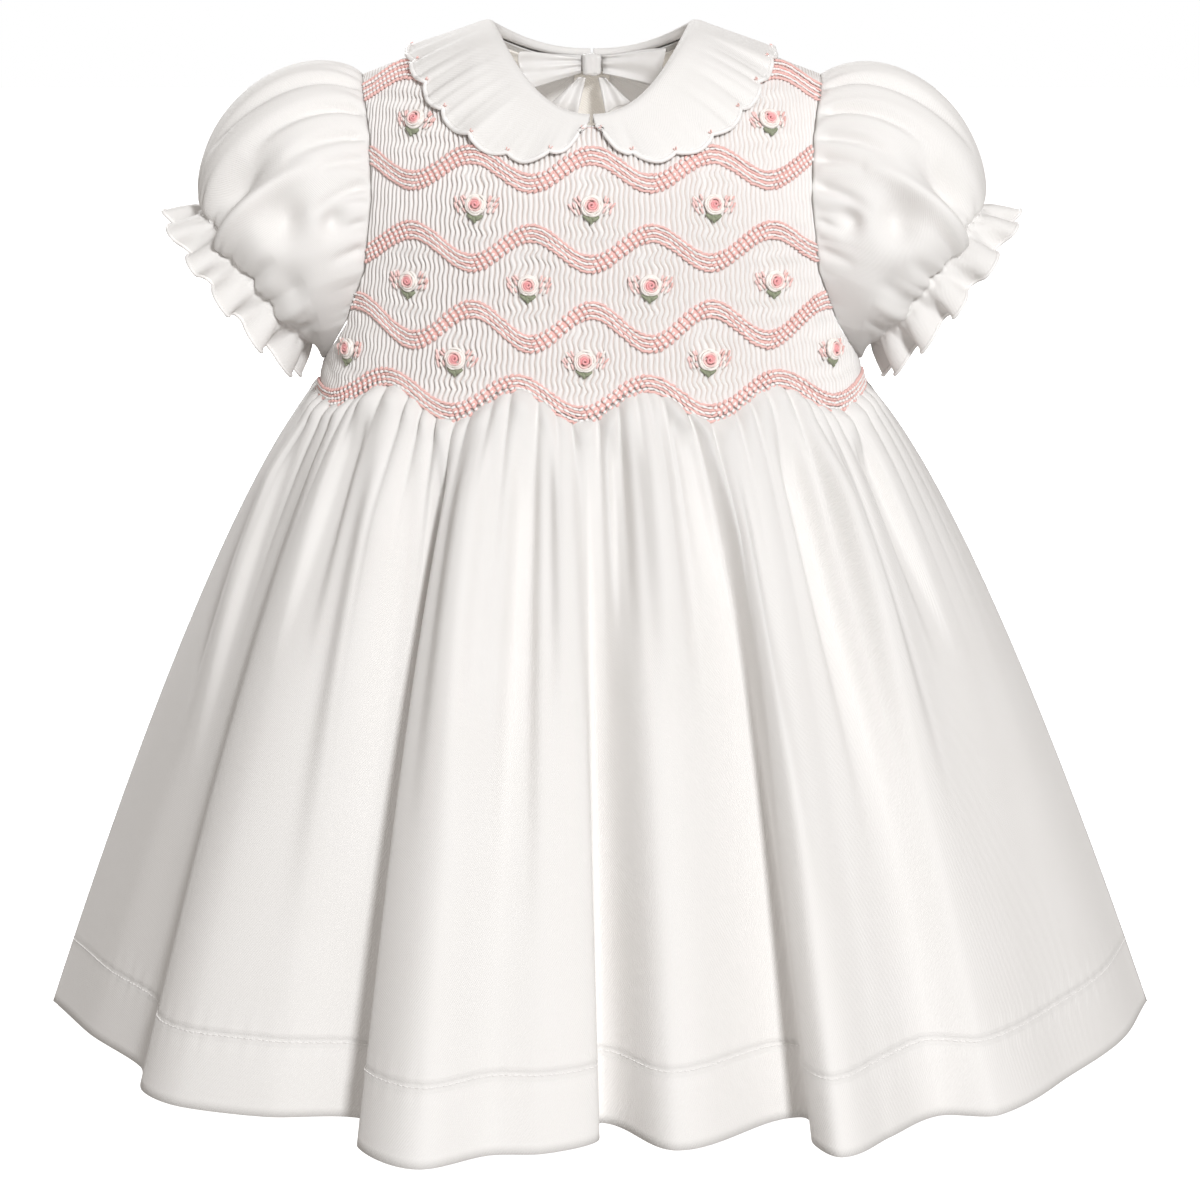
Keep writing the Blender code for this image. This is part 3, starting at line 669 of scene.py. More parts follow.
def facing_out(points: np.ndarray, inside: Sequence[float]) -> np.ndarray:
    """Turns a grid's columns, if need be, so that it faces away from a point.

    Args:
        points: the grid, by row and column.
        inside: the point, on the cloth's inner side.

    Returns:
        The grid.
    """
    across = points[:-1, 1:] - points[:-1, :-1]
    up = points[1:, :-1] - points[:-1, :-1]
    away = points[:-1, :-1] - np.array(inside)
    outward = float((np.cross(across, up) * away).sum())
    return points if outward > 0.0 else points[:, ::-1]


def grid_mesh(points: np.ndarray, inside: Sequence[float] | None = None) -> bmesh.types.BMesh:
    """Starts a mesh with one grid in it.

    Args:
        points: the grid, by row and column.
        inside: a point that the grid is turned away from, or None to leave it.

    Returns:
        The mesh.
    """
    builder = start_mesh()
    lay_grid(builder, points if inside is None else facing_out(points, inside))
    return builder


def tube(path: np.ndarray, radii: np.ndarray, sides: int, up: np.ndarray,
         flat: float = 1.0) -> np.ndarray:
    """Works out the grid of a tube.

    Args:
        path: the points of its middle line.
        radii: its radius at each.
        sides: how many sides it has.
        up: the direction, or one a point, that its roundness is measured from.
        flat: how thick it is along up, as a share of its width.

    Returns:
        The grid's points, by path point and side.
    """
    along = unit(np.gradient(path, axis=0))
    side = unit(np.cross(along, np.broadcast_to(up, path.shape)))
    rise = np.cross(side, along)
    turn = np.linspace(0.0, 2 * np.pi, sides + 1)[None, :, None]
    around = np.cos(turn) * side[:, None] + flat * np.sin(turn) * rise[:, None]
    return path[:, None] + around * radii[:, None, None]


class Piece:
    """One finished piece of the dress: its mesh, materials, wall and the frame's nodes that it
    hides.
    """

    def __init__(self, name: str, builder: bmesh.types.BMesh,
                 materials: Sequence[bpy.types.Material], slot: str,
                 replaces: Sequence[str] = (), wall: float = 0.0,
                 cut: tuple[float, float] | None = None, turn_faces: bool = False) -> None:
        """Makes the object.

        Args:
            name: the piece's name.
            builder: its mesh, in metres.
            materials: its materials in their order.
            slot: the record's material slot; not used.
            replaces: the frame's nodes that it stands for.
            wall: thickness that it grows inwards, in millimetres.
            cut: size of its flat cloth in millimetres, which its UV map then has.
            turn_faces: True to have the faces' directions worked out.
        """
        bmesh.ops.remove_doubles(builder, verts=builder.verts, dist=2e-6)
        if turn_faces:
            bmesh.ops.recalc_face_normals(builder, faces=builder.faces)
        mesh = bpy.data.meshes.new(name)
        builder.to_mesh(mesh)
        builder.free()
        mesh.shade_smooth()
        if cut and mesh.uv_layers:
            places = np.zeros(len(mesh.loops) * 2)
            layer = mesh.uv_layers[0].data
            layer.foreach_get("uv", places)
            places = places.reshape(-1, 2) * np.array(cut) * MM
            layer.foreach_set("uv", places.ravel())
        for material in materials:
            mesh.materials.append(material)
        self.thing = bpy.data.objects.new(name, mesh)
        bpy.context.scene.collection.objects.link(self.thing)
        if wall:
            solid = self.thing.modifiers.new("wall", "SOLIDIFY")
            solid.thickness = wall * MM
            solid.offset = -1.0
        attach(self.thing, BODY)
        if replaces:
            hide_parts(*replaces)
        LOG.info("%s: %d faces", name, len(mesh.polygons))

    def sheet(self) -> "Piece":
        """Returns:
            The piece.
        """
        return self


class Stitches:
    """Many short stitches, each a small plump grain of thread, joined in one mesh."""

    def __init__(self) -> None:
        """Starts with none."""
        self.places: list[Matrix] = []
        self.kinds: list[int] = []

    def add(self, centre: np.ndarray, along: np.ndarray, outward: np.ndarray, length: float,
            width: float, kind: int = 0) -> None:
        """Adds one stitch.

        Args:
            centre: its middle, in millimetres.
            along: the direction that it runs in.
            outward: the cloth's outward direction.
            length: its length.
            width: its width.
            kind: its material number.
        """
        along = unit(along)
        side = unit(np.cross(outward, along))
        rise = np.cross(along, side)
        columns = np.column_stack((side * width / 2, rise * width / 2, along * length / 2,
                                   centre)) * MM
        self.places.append(Matrix([*columns.tolist(), [0.0, 0.0, 0.0, 1.0]]))
        self.kinds.append(kind)

    def build(self, builder: bmesh.types.BMesh) -> bmesh.types.BMesh:
        """Adds every stitch by doubling one grain.

        Args:
            builder: the mesh to add them to.

        Returns:
            The mesh.
        """
        number = builder.verts.layers.int.new("stitch")
        for vert in builder.verts:
            vert[number] = -1
        grain = bmesh.ops.create_uvsphere(builder, u_segments=6, v_segments=4, radius=1.0)["verts"]
        for vert in grain:
            vert[number] = 0
            vert.co.z = math.copysign(abs(vert.co.z) ** 0.6, vert.co.z)
        laid = 1
        while laid < len(self.places):
            batch = min(laid, len(self.places) - laid)
            verts = [vert for vert in builder.verts if 0 <= vert[number] < batch]
            faces = dict.fromkeys(face for vert in verts for face in vert.link_faces)
            edges = dict.fromkeys(edge for vert in verts for edge in vert.link_edges)
            more = bmesh.ops.duplicate(builder, geom=[*verts, *edges, *faces])["geom"]
            for item in more:
                if isinstance(item, bmesh.types.BMVert):
                    item[number] += laid
            laid += batch
        for face in builder.faces:
            stitch = face.verts[0][number]
            if stitch >= 0:
                face.material_index = self.kinds[stitch]
        for vert in builder.verts:
            if vert[number] >= 0:
                vert.co = self.places[vert[number]] @ vert.co
        builder.verts.layers.int.remove(number)
        return builder


# ---------------------------------------------------------------- smocked front


class Band(NamedTuple):
    """One waved band of smocking stitches: its middle's height and its wave."""

    middle: float
    height: float
    length: float
    crest_x: float

    def z(self, x: np.ndarray) -> np.ndarray:
        """Returns the band's height at places across."""
        return self.middle + self.height * np.cos(2 * np.pi * (x - self.crest_x) / self.length)


class StitchRow(NamedTuple):
    """One row of stitches in a band.

    It says how far below the band's middle the row is, its stitches' width and length, their
    thread, and by what share of a pleat the row is shifted.
    """

    below: float
    width: float
    length: float
    thread: BandThread
    offset: float


class RosePlace(NamedTuple):
    """A rose's node and where it sits on the yoke."""

    node: str
    x: float
    z: float


ROSES = tuple(
    RosePlace(f"rose_{row}{number}", x, z)
    for row, z, xs in (("a", -28.5, (-65.5, 66.0)), ("b", -58.0, (-42.5, 0.2, 45.2)),
                       ("c", -87.0, (-67.8, -23.2, 21.8, 68.0)),
                       ("d", -115.0, (-92.0, -50.4, -2.4, 43.6, 91.0)))
    for number, x in enumerate(xs, start=1))


@dataclass(frozen=True)
class SmockedYoke:
    """The pleated and smocked front yoke."""

    form: Bodice
    pleats_half: int = 66
    rim_rows: int = 14
    rows: int = 84
    hem_rows: int = 8
    joint_z: float = -123.5
    # Each row: share of the pleat, lift, and painted shade, 0 for the darkest painted valley shade
    # and 1 for none.
    profile: tuple = ((0.0, -0.75, 0.0), (0.21, 0.5, 0.85), (0.5, 1.1, 1.0), (0.79, 0.5, 0.85))
    wobble: float = 0.8
    wobble_wave: float = 7.6
    wall: float = 0.35
    chest_half: float = 99.0
    shoulder_half: float = 93.0
    hem_half: float = 106.0
    mean_radius: float = 95.0
    girth_half: float = 137.0
    spread: float = 1.06
    outer_row: float = 2.0
    outer_slant: float = 13.0
    ground_half: float = 2.6
    bands: tuple = (
        Band(-16.0, -5.0, 46.0, 0.0),
        Band(-45.0, 5.0, 44.5, 0.0),
        Band(-73.5, 5.6, 44.5, 22.25),
        Band(-102.5, 6.3, 44.3, 0.0),
        Band(-129.3, 5.8, 48.7, 20.7),
    )
    stitch_rows: tuple = (
        StitchRow(-2.75, 1.3, 2.5, BandThread.CORAL, 0.0),
        StitchRow(-0.95, 1.25, 2.5, BandThread.CORAL, 0.5),
        StitchRow(0.95, 1.25, 2.5, BandThread.CORAL, 0.0),
        StitchRow(2.75, 1.3, 2.5, BandThread.CORAL, 0.5),
        StitchRow(-1.85, 1.15, 2.0, BandThread.WHITE, 0.25),
        StitchRow(0.0, 1.2, 2.0, BandThread.WHITE, 0.75),
        StitchRow(1.85, 1.15, 2.0, BandThread.WHITE, 0.25),
    )

    def turn(self, share: np.ndarray) -> np.ndarray:
        """Works out the angles round the bodice that are evenly spaced along the cloth.

        Args:
            share: shares of the way from the centre, -1 to 1.

        Returns:
            The angle at each share.
        """
        angle = np.linspace(0.0, np.pi / 2, 400)
        x = 100.0 * np.sin(angle)
        y = 66.5 * (1.0 - np.sin(angle) ** self.form.roundness) ** (1.0 / self.form.roundness)
        arc = np.concatenate(([0.0], np.cumsum(np.hypot(np.diff(x), np.diff(y)))))
        return np.sign(share) * np.interp(np.abs(share), arc / arc[-1], angle)

    def edge_turn(self, z: np.ndarray) -> np.ndarray:
        """Returns the angle of the armhole edge at a height."""
        size = self.form.at(z)
        return np.arcsin(np.minimum(size.edge / size.half_width, 1.0))

    def calm_under_bands(self, value: np.ndarray, x: np.ndarray, z: np.ndarray, most: float,
                         reach: float) -> np.ndarray:
        """Lessens a value under each stitched band.

        Args:
            value: the value at each place.
            x: the places across.
            z: their heights.
            most: the share of it that is lost in a band's middle.
            reach: how far above and below the band that fades.

        Returns:
            The lessened value.
        """
        for band in self.bands:
            value = value * (1.0 - most * bump(z - band.z(x), reach))
        return value

    def heights(self, x: np.ndarray) -> np.ndarray:
        """Works out every row's height.

        Args:
            x: the columns' places across.

        Returns:
            The heights, by row and column, from the lower edge up.
        """
        top = self.form.top_z(x, Facing.FRONT)
        rim = np.minimum(-17.0, top - 4.0)
        share = (np.arange(self.rim_rows) / self.rim_rows)[:, None] ** 2
        upper = top + (rim - top) * share
        body = rim + (self.joint_z - rim) * np.linspace(0.0, 1.0, self.rows + 1)[:, None]
        bottom = self.form.wave_z(x, Facing.FRONT)
        share = np.linspace(0.0, 1.0, self.hem_rows + 1)[1:, None]
        lower = self.joint_z + (bottom - self.joint_z) * share
        return np.vstack((upper, body, lower))[::-1]

    def sway(self, x: np.ndarray, z: np.ndarray) -> np.ndarray:
        """Works out how far the pleats lie sideways: a zigzag, and a parting round each rose.

        Args:
            x: places across.
            z: their heights.

        Returns:
            The shift at each place.
        """
        phase = (2 * np.pi * z / self.wobble_wave + 1.6 * wander(x + 0.2 * z, 58.0, 1)
                 + 0.55 * wander(x + 0.1 * z, 8.7, 7) + 1.1 * wander(z, 47.0, 8))
        zigzag = np.sin(phase) + 0.3 * np.sin(2 * phase + 1.0) * wander(x, 13.0, 2)
        strength = 0.24 + 0.2 * wander(x * 0.7 + z * 1.3, 31.0, 3) + 0.12 * wander(x, 5.3, 6)
        pushed = np.zeros_like(x)
        for rose in ROSES:
            across, up = x - rose.x, z - rose.z
            strength = strength + 0.8 * bump(across, 9.5) * bump(np.abs(up) - 8.5, 6.0)
            pushed = pushed + 0.34 * across * np.exp(-(across / 6.5) ** 2 - (up / 6.0) ** 2)
        pinch = self.calm_under_bands(np.ones_like(x), x, z, 0.75, 3.4)
        return self.wobble * zigzag * np.clip(strength, 0.15, 1.7) * pinch + pushed

    def height_share(self, x: np.ndarray, z: np.ndarray) -> np.ndarray:
        """Works out how high the pleats stand: lower under stitches and where one opens out.

        Args:
            x: places across.
            z: their heights.

        Returns:
            The share of the full height at each place.
        """
        share = 0.92 + 0.12 * wander(x * 1.7 + z, 17.0, 4)
        share = self.calm_under_bands(share, x, z, 0.75, 3.9)
        for rose in ROSES:
            across, up = x - rose.x, z - rose.z
            share = share * (1.0 - 0.6 * np.exp(-(across / 4.6) ** 2 - (up / 4.4) ** 2))
            across, up = x - (rose.x - 3.2), z - (rose.z + 10.0)
            share = share * (1.0 - 0.5 * np.exp(-(across / 1.9) ** 2 - (up / 3.4) ** 2))
        return share

    def columns(self, angle: np.ndarray, z: np.ndarray) -> tuple[np.ndarray, np.ndarray]:
        """Works out where angles round the bodice lie, held inside the armholes.

        Args:
            angle: the angles.
            z: their heights.

        Returns:
            The places across, and how far each angle is from the armhole's edge.
        """
        size = self.form.at(z)
        edge = self.edge_turn(z)
        x = size.half_width * np.sin(np.clip(angle, -edge, edge))
        return x, (edge - np.abs(angle)) * size.half_width

    def points(self) -> tuple[np.ndarray, np.ndarray]:
        """Works out the pleated surface.

        Returns:
            The points, by row and column, and the painted shade at each: darkest in the pleats'
            valleys.
        """
        shares, lifts, painted_shades = np.array(self.profile).T
        pleat = (np.arange(-self.pleats_half, self.pleats_half)[:, None] + shares).ravel()
        pleat = np.append(pleat, self.pleats_half)
        per_pleat = np.random.default_rng(SEED).uniform(0.86, 1.14, 2 * self.pleats_half)
        lift = np.append((lifts * per_pleat[:, None]).ravel(), lifts[0])
        base = self.turn(pleat / self.pleats_half)
        held = self.form.shoulder_tip
        z = self.heights(np.clip(self.shoulder_half * np.sin(base), -held, held))
        fade = np.linspace(1.0, 0.0, self.hem_rows + 1)[:-1, None]
        z[:self.hem_rows] += (self.form.wave_z(self.hem_half * np.sin(base), Facing.FRONT)
                              - z[0]) * fade
        x, room = self.columns(np.broadcast_to(base, z.shape), z)
        pitch = self.girth_half / self.pleats_half
        moved = pleat + self.sway(x, z) * smooth(room / 7.0) / pitch
        x, room = self.columns(self.turn(np.clip(moved / self.pleats_half, -1.0, 1.0)), z)
        plain = self.form.surface(x, z, Facing.FRONT)
        share = self.height_share(x, z)
        raised = (lift * share * np.clip(room / 1.2, 0.0, 1.0) * smooth((z[-1] - z) / 3.5)
                  * smooth((z - z[0] + 1.0) / 2.0))
        # Painted shade between the pleats, where shade falls: fainter where the pleats stand low
        # and under the stitched bands.
        painted_shade = np.append(np.tile(painted_shades, 2 * self.pleats_half), painted_shades[0])
        hollow = self.calm_under_bands(smooth(share * 1.25 - 0.05), x, z, 0.85, 3.6)
        return (plain + self.form.outward(plain) * raised[..., None],
                1.0 - (1.0 - painted_shade) * hollow)

    def lay_row(self, stitches: Stitches, band: Band, row: StitchRow,
                draw: np.random.Generator) -> None:
        """Lays one row of a band's stitches, longer and flatter where the band runs level.

        Args:
            stitches: takes the stitches.
            band: the band's wave.
            row: the row.
            draw: says how uneven the stitches are.
        """
        pleat = np.arange(-self.pleats_half, self.pleats_half) + row.offset
        angle = self.turn(np.clip(pleat / self.pleats_half, -1.0, 1.0))
        below = row.below * self.spread
        x = self.chest_half * np.sin(angle)
        for _ in range(3):
            z = band.z(x) - below
            x = self.form.at(z).half_width * np.sin(angle)
        inner = self.edge_turn(z) - np.abs(angle)
        room = np.minimum(inner * self.mean_radius - 1.0,
                          self.form.top_z(x, Facing.FRONT) - z - 0.5)
        ahead = self.form.surface(x + 0.5, band.z(x + 0.5) - below, Facing.FRONT)
        here = self.form.surface(x, z, Facing.FRONT)
        outward = self.form.outward(here)
        tangent = unit(ahead - here)
        up = np.cross(tangent, outward)
        up *= np.sign(up[:, 2:3])
        slope = np.degrees(np.arctan2(tangent[:, 2], np.hypot(tangent[:, 0], tangent[:, 1])))
        rising = smooth((slope + 14.0) / 30.0)
        tilt = np.radians(-3.0 + 22.0 * rising)
        length = row.length * (1.35 - 0.6 * rising)
        width = row.width * (0.86 + 0.24 * rising)
        slant = self.outer_slant * (abs(row.below) > self.outer_row)
        stand = 0.62 + 0.25 * row.thread + 0.12 * abs(row.below)
        for index in np.flatnonzero(room >= 0.0):
            lean = tilt[index] + math.radians(slant + draw.uniform(-7.0, 7.0))
            along = tangent[index] * math.cos(lean) + up[index] * math.sin(lean)
            height = stand + draw.uniform(-0.1, 0.12)
            place = (here[index] + outward[index] * height
                     + up[index] * draw.uniform(-0.15, 0.15))
            stitches.add(place, along, outward[index], length[index] * draw.uniform(0.9, 1.1),
                         width[index] * draw.uniform(0.9, 1.1), row.thread)

    def ground(self, band: Band) -> np.ndarray:
        """Works out the dense ground of thread under one band, by row and column.

        Args:
            band: the band's wave.

        Returns:
            The ground's points.
        """
        share = np.linspace(-1.0, 1.0, 401)[None, :]
        below = np.linspace(self.ground_half, -self.ground_half, 5)[:, None]
        angle = self.turn(share * np.ones_like(below))
        x = self.chest_half * np.sin(angle)
        for _ in range(3):
            z = np.minimum(band.z(x) - below, self.form.top_z(x, Facing.FRONT) - 1.0)
            z = np.maximum(z, self.form.wave_z(x, Facing.FRONT) + 0.2)
            edge = self.edge_turn(z) - 0.8 / self.mean_radius
            x = self.form.at(z).half_width * np.sin(np.clip(angle, -edge, edge))
        base = self.form.surface(x, z, Facing.FRONT)
        height = 0.5 - 0.45 * (np.abs(below) > self.outer_row)
        return base + self.form.outward(base) * height[..., None]

    def build(self, finishes: Finishes) -> None:
        """Builds the yoke and its stitched bands.

        Args:
            finishes: the dress's materials.
        """
        points, painted_shade = self.points()
        turned = facing_out(points, YOKE_MIDDLE)
        builder = start_mesh()
        lay_grid(builder, turned, painted_shade=painted_shade if turned is points else painted_shade[:, ::-1])
        yoke = Piece("smocked_yoke", builder, [finishes.pleated], "cotton", ["smocked_front"],
                     wall=self.wall, cut=(620.0, 150.0))
        stitches = Stitches()
        threads = start_mesh()
        for number, band in enumerate(self.bands):
            draw = np.random.default_rng(SEED + 20 + number)
            for row in self.stitch_rows:
                self.lay_row(stitches, band, row, draw)
            lay_grid(threads, facing_out(self.ground(band), YOKE_MIDDLE))
        bands = Piece("smocking_stitches", stitches.build(threads),
                      [finishes.coral, finishes.white], "rose_thread")
        yoke.sheet()


class PetalRing(NamedTuple):
    """One ring of a rose's petals: how many, their radius, thickness, height, span and thread."""

    count: int
    radius: float
    width: float
    height: float
    span: float
    thread: RoseThread


class Leaf(NamedTuple):
    """One leaf of a rose: its lean in degrees, its place from the rose's middle and its length."""

    lean: float
    across: float
    rise: float
    length: float


@dataclass(frozen=True)
class Rose:
    """One embroidered rose with its leaves and side stitches."""

    place: RosePlace
    form: Bodice
    number: int
    lift: float = 0.7
    sprig_stitches: int = 11
    cream_stitches: tuple = (2, 5, 9)
    rings: tuple = (
        PetalRing(3, 1.95, 0.42, 1.9, 2.9, RoseThread.BLUSH),
        PetalRing(4, 2.65, 0.44, 1.5, 2.35, RoseThread.CREAM),
        PetalRing(5, 3.35, 0.5, 0.85, 1.9, RoseThread.CREAM),
    )
    leaves: tuple = (
        Leaf(-40.0, -1.9, -4.5, 3.8),
        Leaf(34.0, 1.3, -4.8, 3.6),
        Leaf(-75.0, -0.5, -5.3, 3.2),
        Leaf(-8.0, 0.2, -4.3, 3.4),
    )

    def petals(self, draw: np.random.Generator) -> list[tuple[np.ndarray, int]]:
        """Works out the wound threads as tubes: a coiled middle and rings of petals.

        Args:
            draw: says how uneven they are.

        Returns:
            Each tube's grid with its thread.
        """
        up = np.array((0.0, 0.0, 1.0))
        start = draw.uniform(0.0, 2 * np.pi)
        t = np.linspace(0.0, 1.0, 34)
        turn = start + 2 * np.pi * 1.7 * t
        reach = 0.2 + 1.5 * t
        path = np.stack((reach * np.cos(turn), reach * np.sin(turn), 2.5 - 0.5 * t), axis=-1)
        ends = np.minimum(1.0, np.minimum(t, 1.0 - t) * 12.0) ** 0.5
        found = [(tube(path, 0.5 * ends, 7, up, 1.3), RoseThread.ROSE)]
        t = np.linspace(0.0, 1.0, 13)
        ends = np.minimum(1.0, np.minimum(t, 1.0 - t) * 4.0 + 0.05) ** 0.6
        for number, ring in enumerate(self.rings):
            for part in range(ring.count):
                turn = (start + 0.8 * number + 2 * np.pi * part / ring.count
                        + ring.span * (t - 0.5))
                out = (ring.radius + 0.62 * (t - 0.5) + 0.3 * np.sin(np.pi * t)
                       + draw.uniform(-0.12, 0.12))
                path = np.stack((out * np.cos(turn), out * np.sin(turn),
                                 ring.height + 0.3 * np.sin(np.pi * t) + 0.6 * (t - 0.5)), axis=-1)
                found.append((tube(path, ring.width * ends, 7, up, 1.7), ring.thread))
        return found

    def lay_stitches(self, stitches: Stitches, base: np.ndarray, axes: np.ndarray,
                     draw: np.random.Generator) -> None:
        """Lays the leaves below the rose and the short stitches at both its sides.

        Args:
            stitches: takes the stitches.
            base: the rose's middle.
            axes: its directions across, up and out.
            draw: says how uneven the stitches are.
        """
        side, up, outward = axes
        for leaf in self.leaves:
            turn = math.radians(leaf.lean)
            along = side * math.cos(turn) + up * math.sin(turn)
            place = base + np.array((leaf.across, leaf.rise, 0.5)) @ axes
            stitches.add(place, along, outward, leaf.length, 1.7, RoseThread.SAGE)
        for hand in (-1, 1):
            for row in range(self.sprig_stitches):
                across = 4.7 + 1.05 * (row % 4) + draw.uniform(-0.3, 0.3)
                rise = 2.7 - 2.3 * (row // 4) - 0.5 * (row % 2) + draw.uniform(-0.3, 0.3)
                if (across / 8.6) ** 2 + (rise / 3.9) ** 2 > 1.15:
                    continue
                turn = math.radians((62.0 if hand > 0 else 118.0) + draw.uniform(-16.0, 16.0))
                along = side * math.cos(turn) + up * math.sin(turn)
                thread = RoseThread.CORAL if hand > 0 and row % 2 else RoseThread.BLUSH
                if row in self.cream_stitches:
                    thread = RoseThread.CREAM
                stitches.add(base + np.array((hand * across, rise, 0.3)) @ axes, along, outward,
                             draw.uniform(2.1, 2.9), 1.0, thread)

    def build(self, finishes: Finishes) -> None:
        """Builds the rose in its node's place.

        Args:
            finishes: the dress's materials.
        """
        draw = np.random.default_rng(SEED + 100 + self.number)
        x, z = np.array([self.place.x]), np.array([self.place.z])
        centre = self.form.surface(x, z, Facing.FRONT)[0]
        outward = self.form.outward(centre[None])[0]
        side = unit(np.cross((0.0, 0.0, 1.0), outward))
        axes = np.stack((side, np.cross(outward, side), outward))
        base = centre + outward * self.lift
        size = draw.uniform(0.95, 1.04)
        builder = start_mesh()
        for points, thread in self.petals(draw):
            lay_grid(builder, (points * size) @ axes + base, thread)
        heart = bmesh.ops.create_uvsphere(builder, u_segments=14, v_segments=8,
                                          radius=1.0)["verts"]
        for vert in heart:
            local = np.array((vert.co.x * 3.0, vert.co.y * 3.0, 0.3 + vert.co.z * 0.95)) * size
            vert.co = (local @ axes + base) * MM
            for face in vert.link_faces:
                face.material_index = RoseThread.CREAM
        stitches = Stitches()
        self.lay_stitches(stitches, base, axes, draw)
        Piece(f"embroidered_{self.place.node}", stitches.build(builder),
              [finishes.rose, finishes.blush, finishes.cream, finishes.sage, finishes.coral],
              "rose_thread", [self.place.node], turn_faces=True)


# ---------------------------------------------------------------- back yoke and inside strips


@dataclass(frozen=True)
class BackYoke:
    """The two plain halves of the back yoke, the strip under their opening and the neck binding."""

    form: Bodice
    columns: int = 60
    rows: int = 70
    wall: float = 0.7
    placket_half: float = 7.0
    placket_depth: float = 2.9
    binding_width: float = 7.0
    binding_depth: float = 3.0

    def half(self, side: int) -> np.ndarray:
        """Works out one half's surface.

        Args:
            side: -1 for the right half, 1 for the left.

        Returns:
            The points, by row and column.
        """
        share = np.linspace(0.0, 1.0, self.columns + 1)
        tip, widest = self.form.shoulder_tip, self.form.levels[0].half_width
        top = self.form.top_z(widest * np.sin(math.asin(tip / widest) * share), Facing.BACK)
        t = np.linspace(1.0, 0.0, self.rows + 1)[:, None]
        eased = np.where(t < 0.15, t * t / 0.3, t - 0.075) / 0.925
        z = top + (self.form.bottom_z - top) * eased
        size = self.form.at(z)
        edge = np.arcsin(np.minimum(size.edge / size.half_width, 1.0))
        x = np.maximum(size.half_width * np.sin(edge * share), SEAM_GAP / 2)
        points = self.form.surface(x, z, Facing.BACK)
        ripple = (0.55 * wander(x * 1.1 + 0.35 * z, 38.0, 30 + side) * smooth(4.0 * share)
                  * smooth(6.0 * (1 - share)))
        low = smooth((self.form.bottom_z + 22.0 - z) / 22.0)
        ripple = ripple + 0.5 * wander(x, 9.0, 33 + side) * low
        lift = ripple * smooth((top - z) / 8.0) - 0.5 * bump(x - 3.0, 0.5)
        points = points + self.form.outward(points) * lift[..., None]
        points[..., 0] *= side
        points[..., 1] = np.maximum(points[..., 1], SEAM_GAP / 2)
        return points

    def binding(self) -> np.ndarray:
        """Works out the narrow strip inside the neck edge.

        Returns:
            The points, by row and column.
        """
        half = self.form.neck_line(1, self.placket_half + 1.0, 90)
        mirrored = half[::-1] * np.array((-1.0, 1.0, 1.0))
        x = np.linspace(-self.placket_half, self.placket_half, 9)
        z = self.form.neckline_z(x, Facing.FRONT)
        bridge = np.stack((x, -self.form.depth(x, z, Facing.FRONT), z), axis=-1)
        line = even_points(np.vstack((mirrored, bridge, half)), 161)
        point, _, down = self.form.neck_frame(line)
        reach = np.full(len(line), self.binding_width)
        points, normals = self.form.walk(point + down * 0.4, down, reach, 8)
        share = np.linspace(0.0, 1.0, 9)[:, None]
        swell = 0.25 * np.sin(np.pi * share) - 0.18 * bump(share - 0.82, 0.07)
        points = points - normals * (self.binding_depth - swell)[..., None]
        return points[::-1]

    def strip(self) -> np.ndarray:
        """Works out the strip that shows in the back opening.

        Returns:
            The points, by row and column.
        """
        x = np.linspace(-self.placket_half, self.placket_half, 25)
        z = np.linspace(-127.0, -14.0, 60)[:, None]
        wide, high = np.broadcast_arrays(x, z)
        y = self.form.depth(wide, high, Facing.BACK) - self.placket_depth
        y = y + 0.22 * wander(high, 34.0, 40) - 0.15 * bump(np.abs(wide) - 5.6, 0.35)
        return np.stack((wide, y, high), axis=-1)

    def build(self, finishes: Finishes) -> None:
        """Builds the back yoke's pieces.

        Args:
            finishes: the dress's materials.
        """
        for side, hand in ((-1, "right"), (1, "left")):
            builder = grid_mesh(self.half(side), (side * 40.0, 0.0, -70.0))
            half = Piece(f"back_yoke_{hand}", builder, [finishes.cotton], "cotton",
                         [f"back_{hand}"], wall=self.wall, cut=(135.0, 160.0))
            half.sheet()
        strip = Piece("back_placket_cloth", grid_mesh(self.strip(), YOKE_MIDDLE),
                      [finishes.inside], "cotton_inside", ["placket"], wall=0.8,
                      cut=(14.0, 118.0))
        strip.sheet()
        binding = Piece("neck_binding_cloth", grid_mesh(self.binding(), (0.0, 0.0, -60.0)),
                        [finishes.inside], "cotton_inside", ["neck_binding"], wall=0.7,
                        cut=(300.0, 7.0))
        binding.sheet()


# ---------------------------------------------------------------- skirt


class Turn(NamedTuple):
    """One turn of the hem seen from above."""

    x: float
    y: float


class SoftFold(NamedTuple):
    """A fold that dies out inside the skirt: a ridge, or a valley where its depth is negative.

    It says where the fold lies across the panel at the top and at the hem, where it starts and
    ends on the way down, its depth, and its width as a share of the panel's.
    """

    top: float
    bottom: float
    starts: float
    ends: float
    depth: float
    width: float

    def lift(self, s: np.ndarray, v: np.ndarray) -> np.ndarray:
        """Works out how far the fold moves the cloth out.

        Args:
            s: places across the panel, 0 to 1.
            v: places down it, 0 to 1.

        Returns:
            The share of the fold's depth at each place.
        """
        middle = self.top + (self.bottom - self.top) * v
        length = np.clip((v - self.starts) / (self.ends - self.starts), 0.0, 1.0)
        across = np.exp(-((s - middle) / self.width) ** 4)
        return across * smooth(length * 5.0) * smooth(1.5 - 1.5 * length)


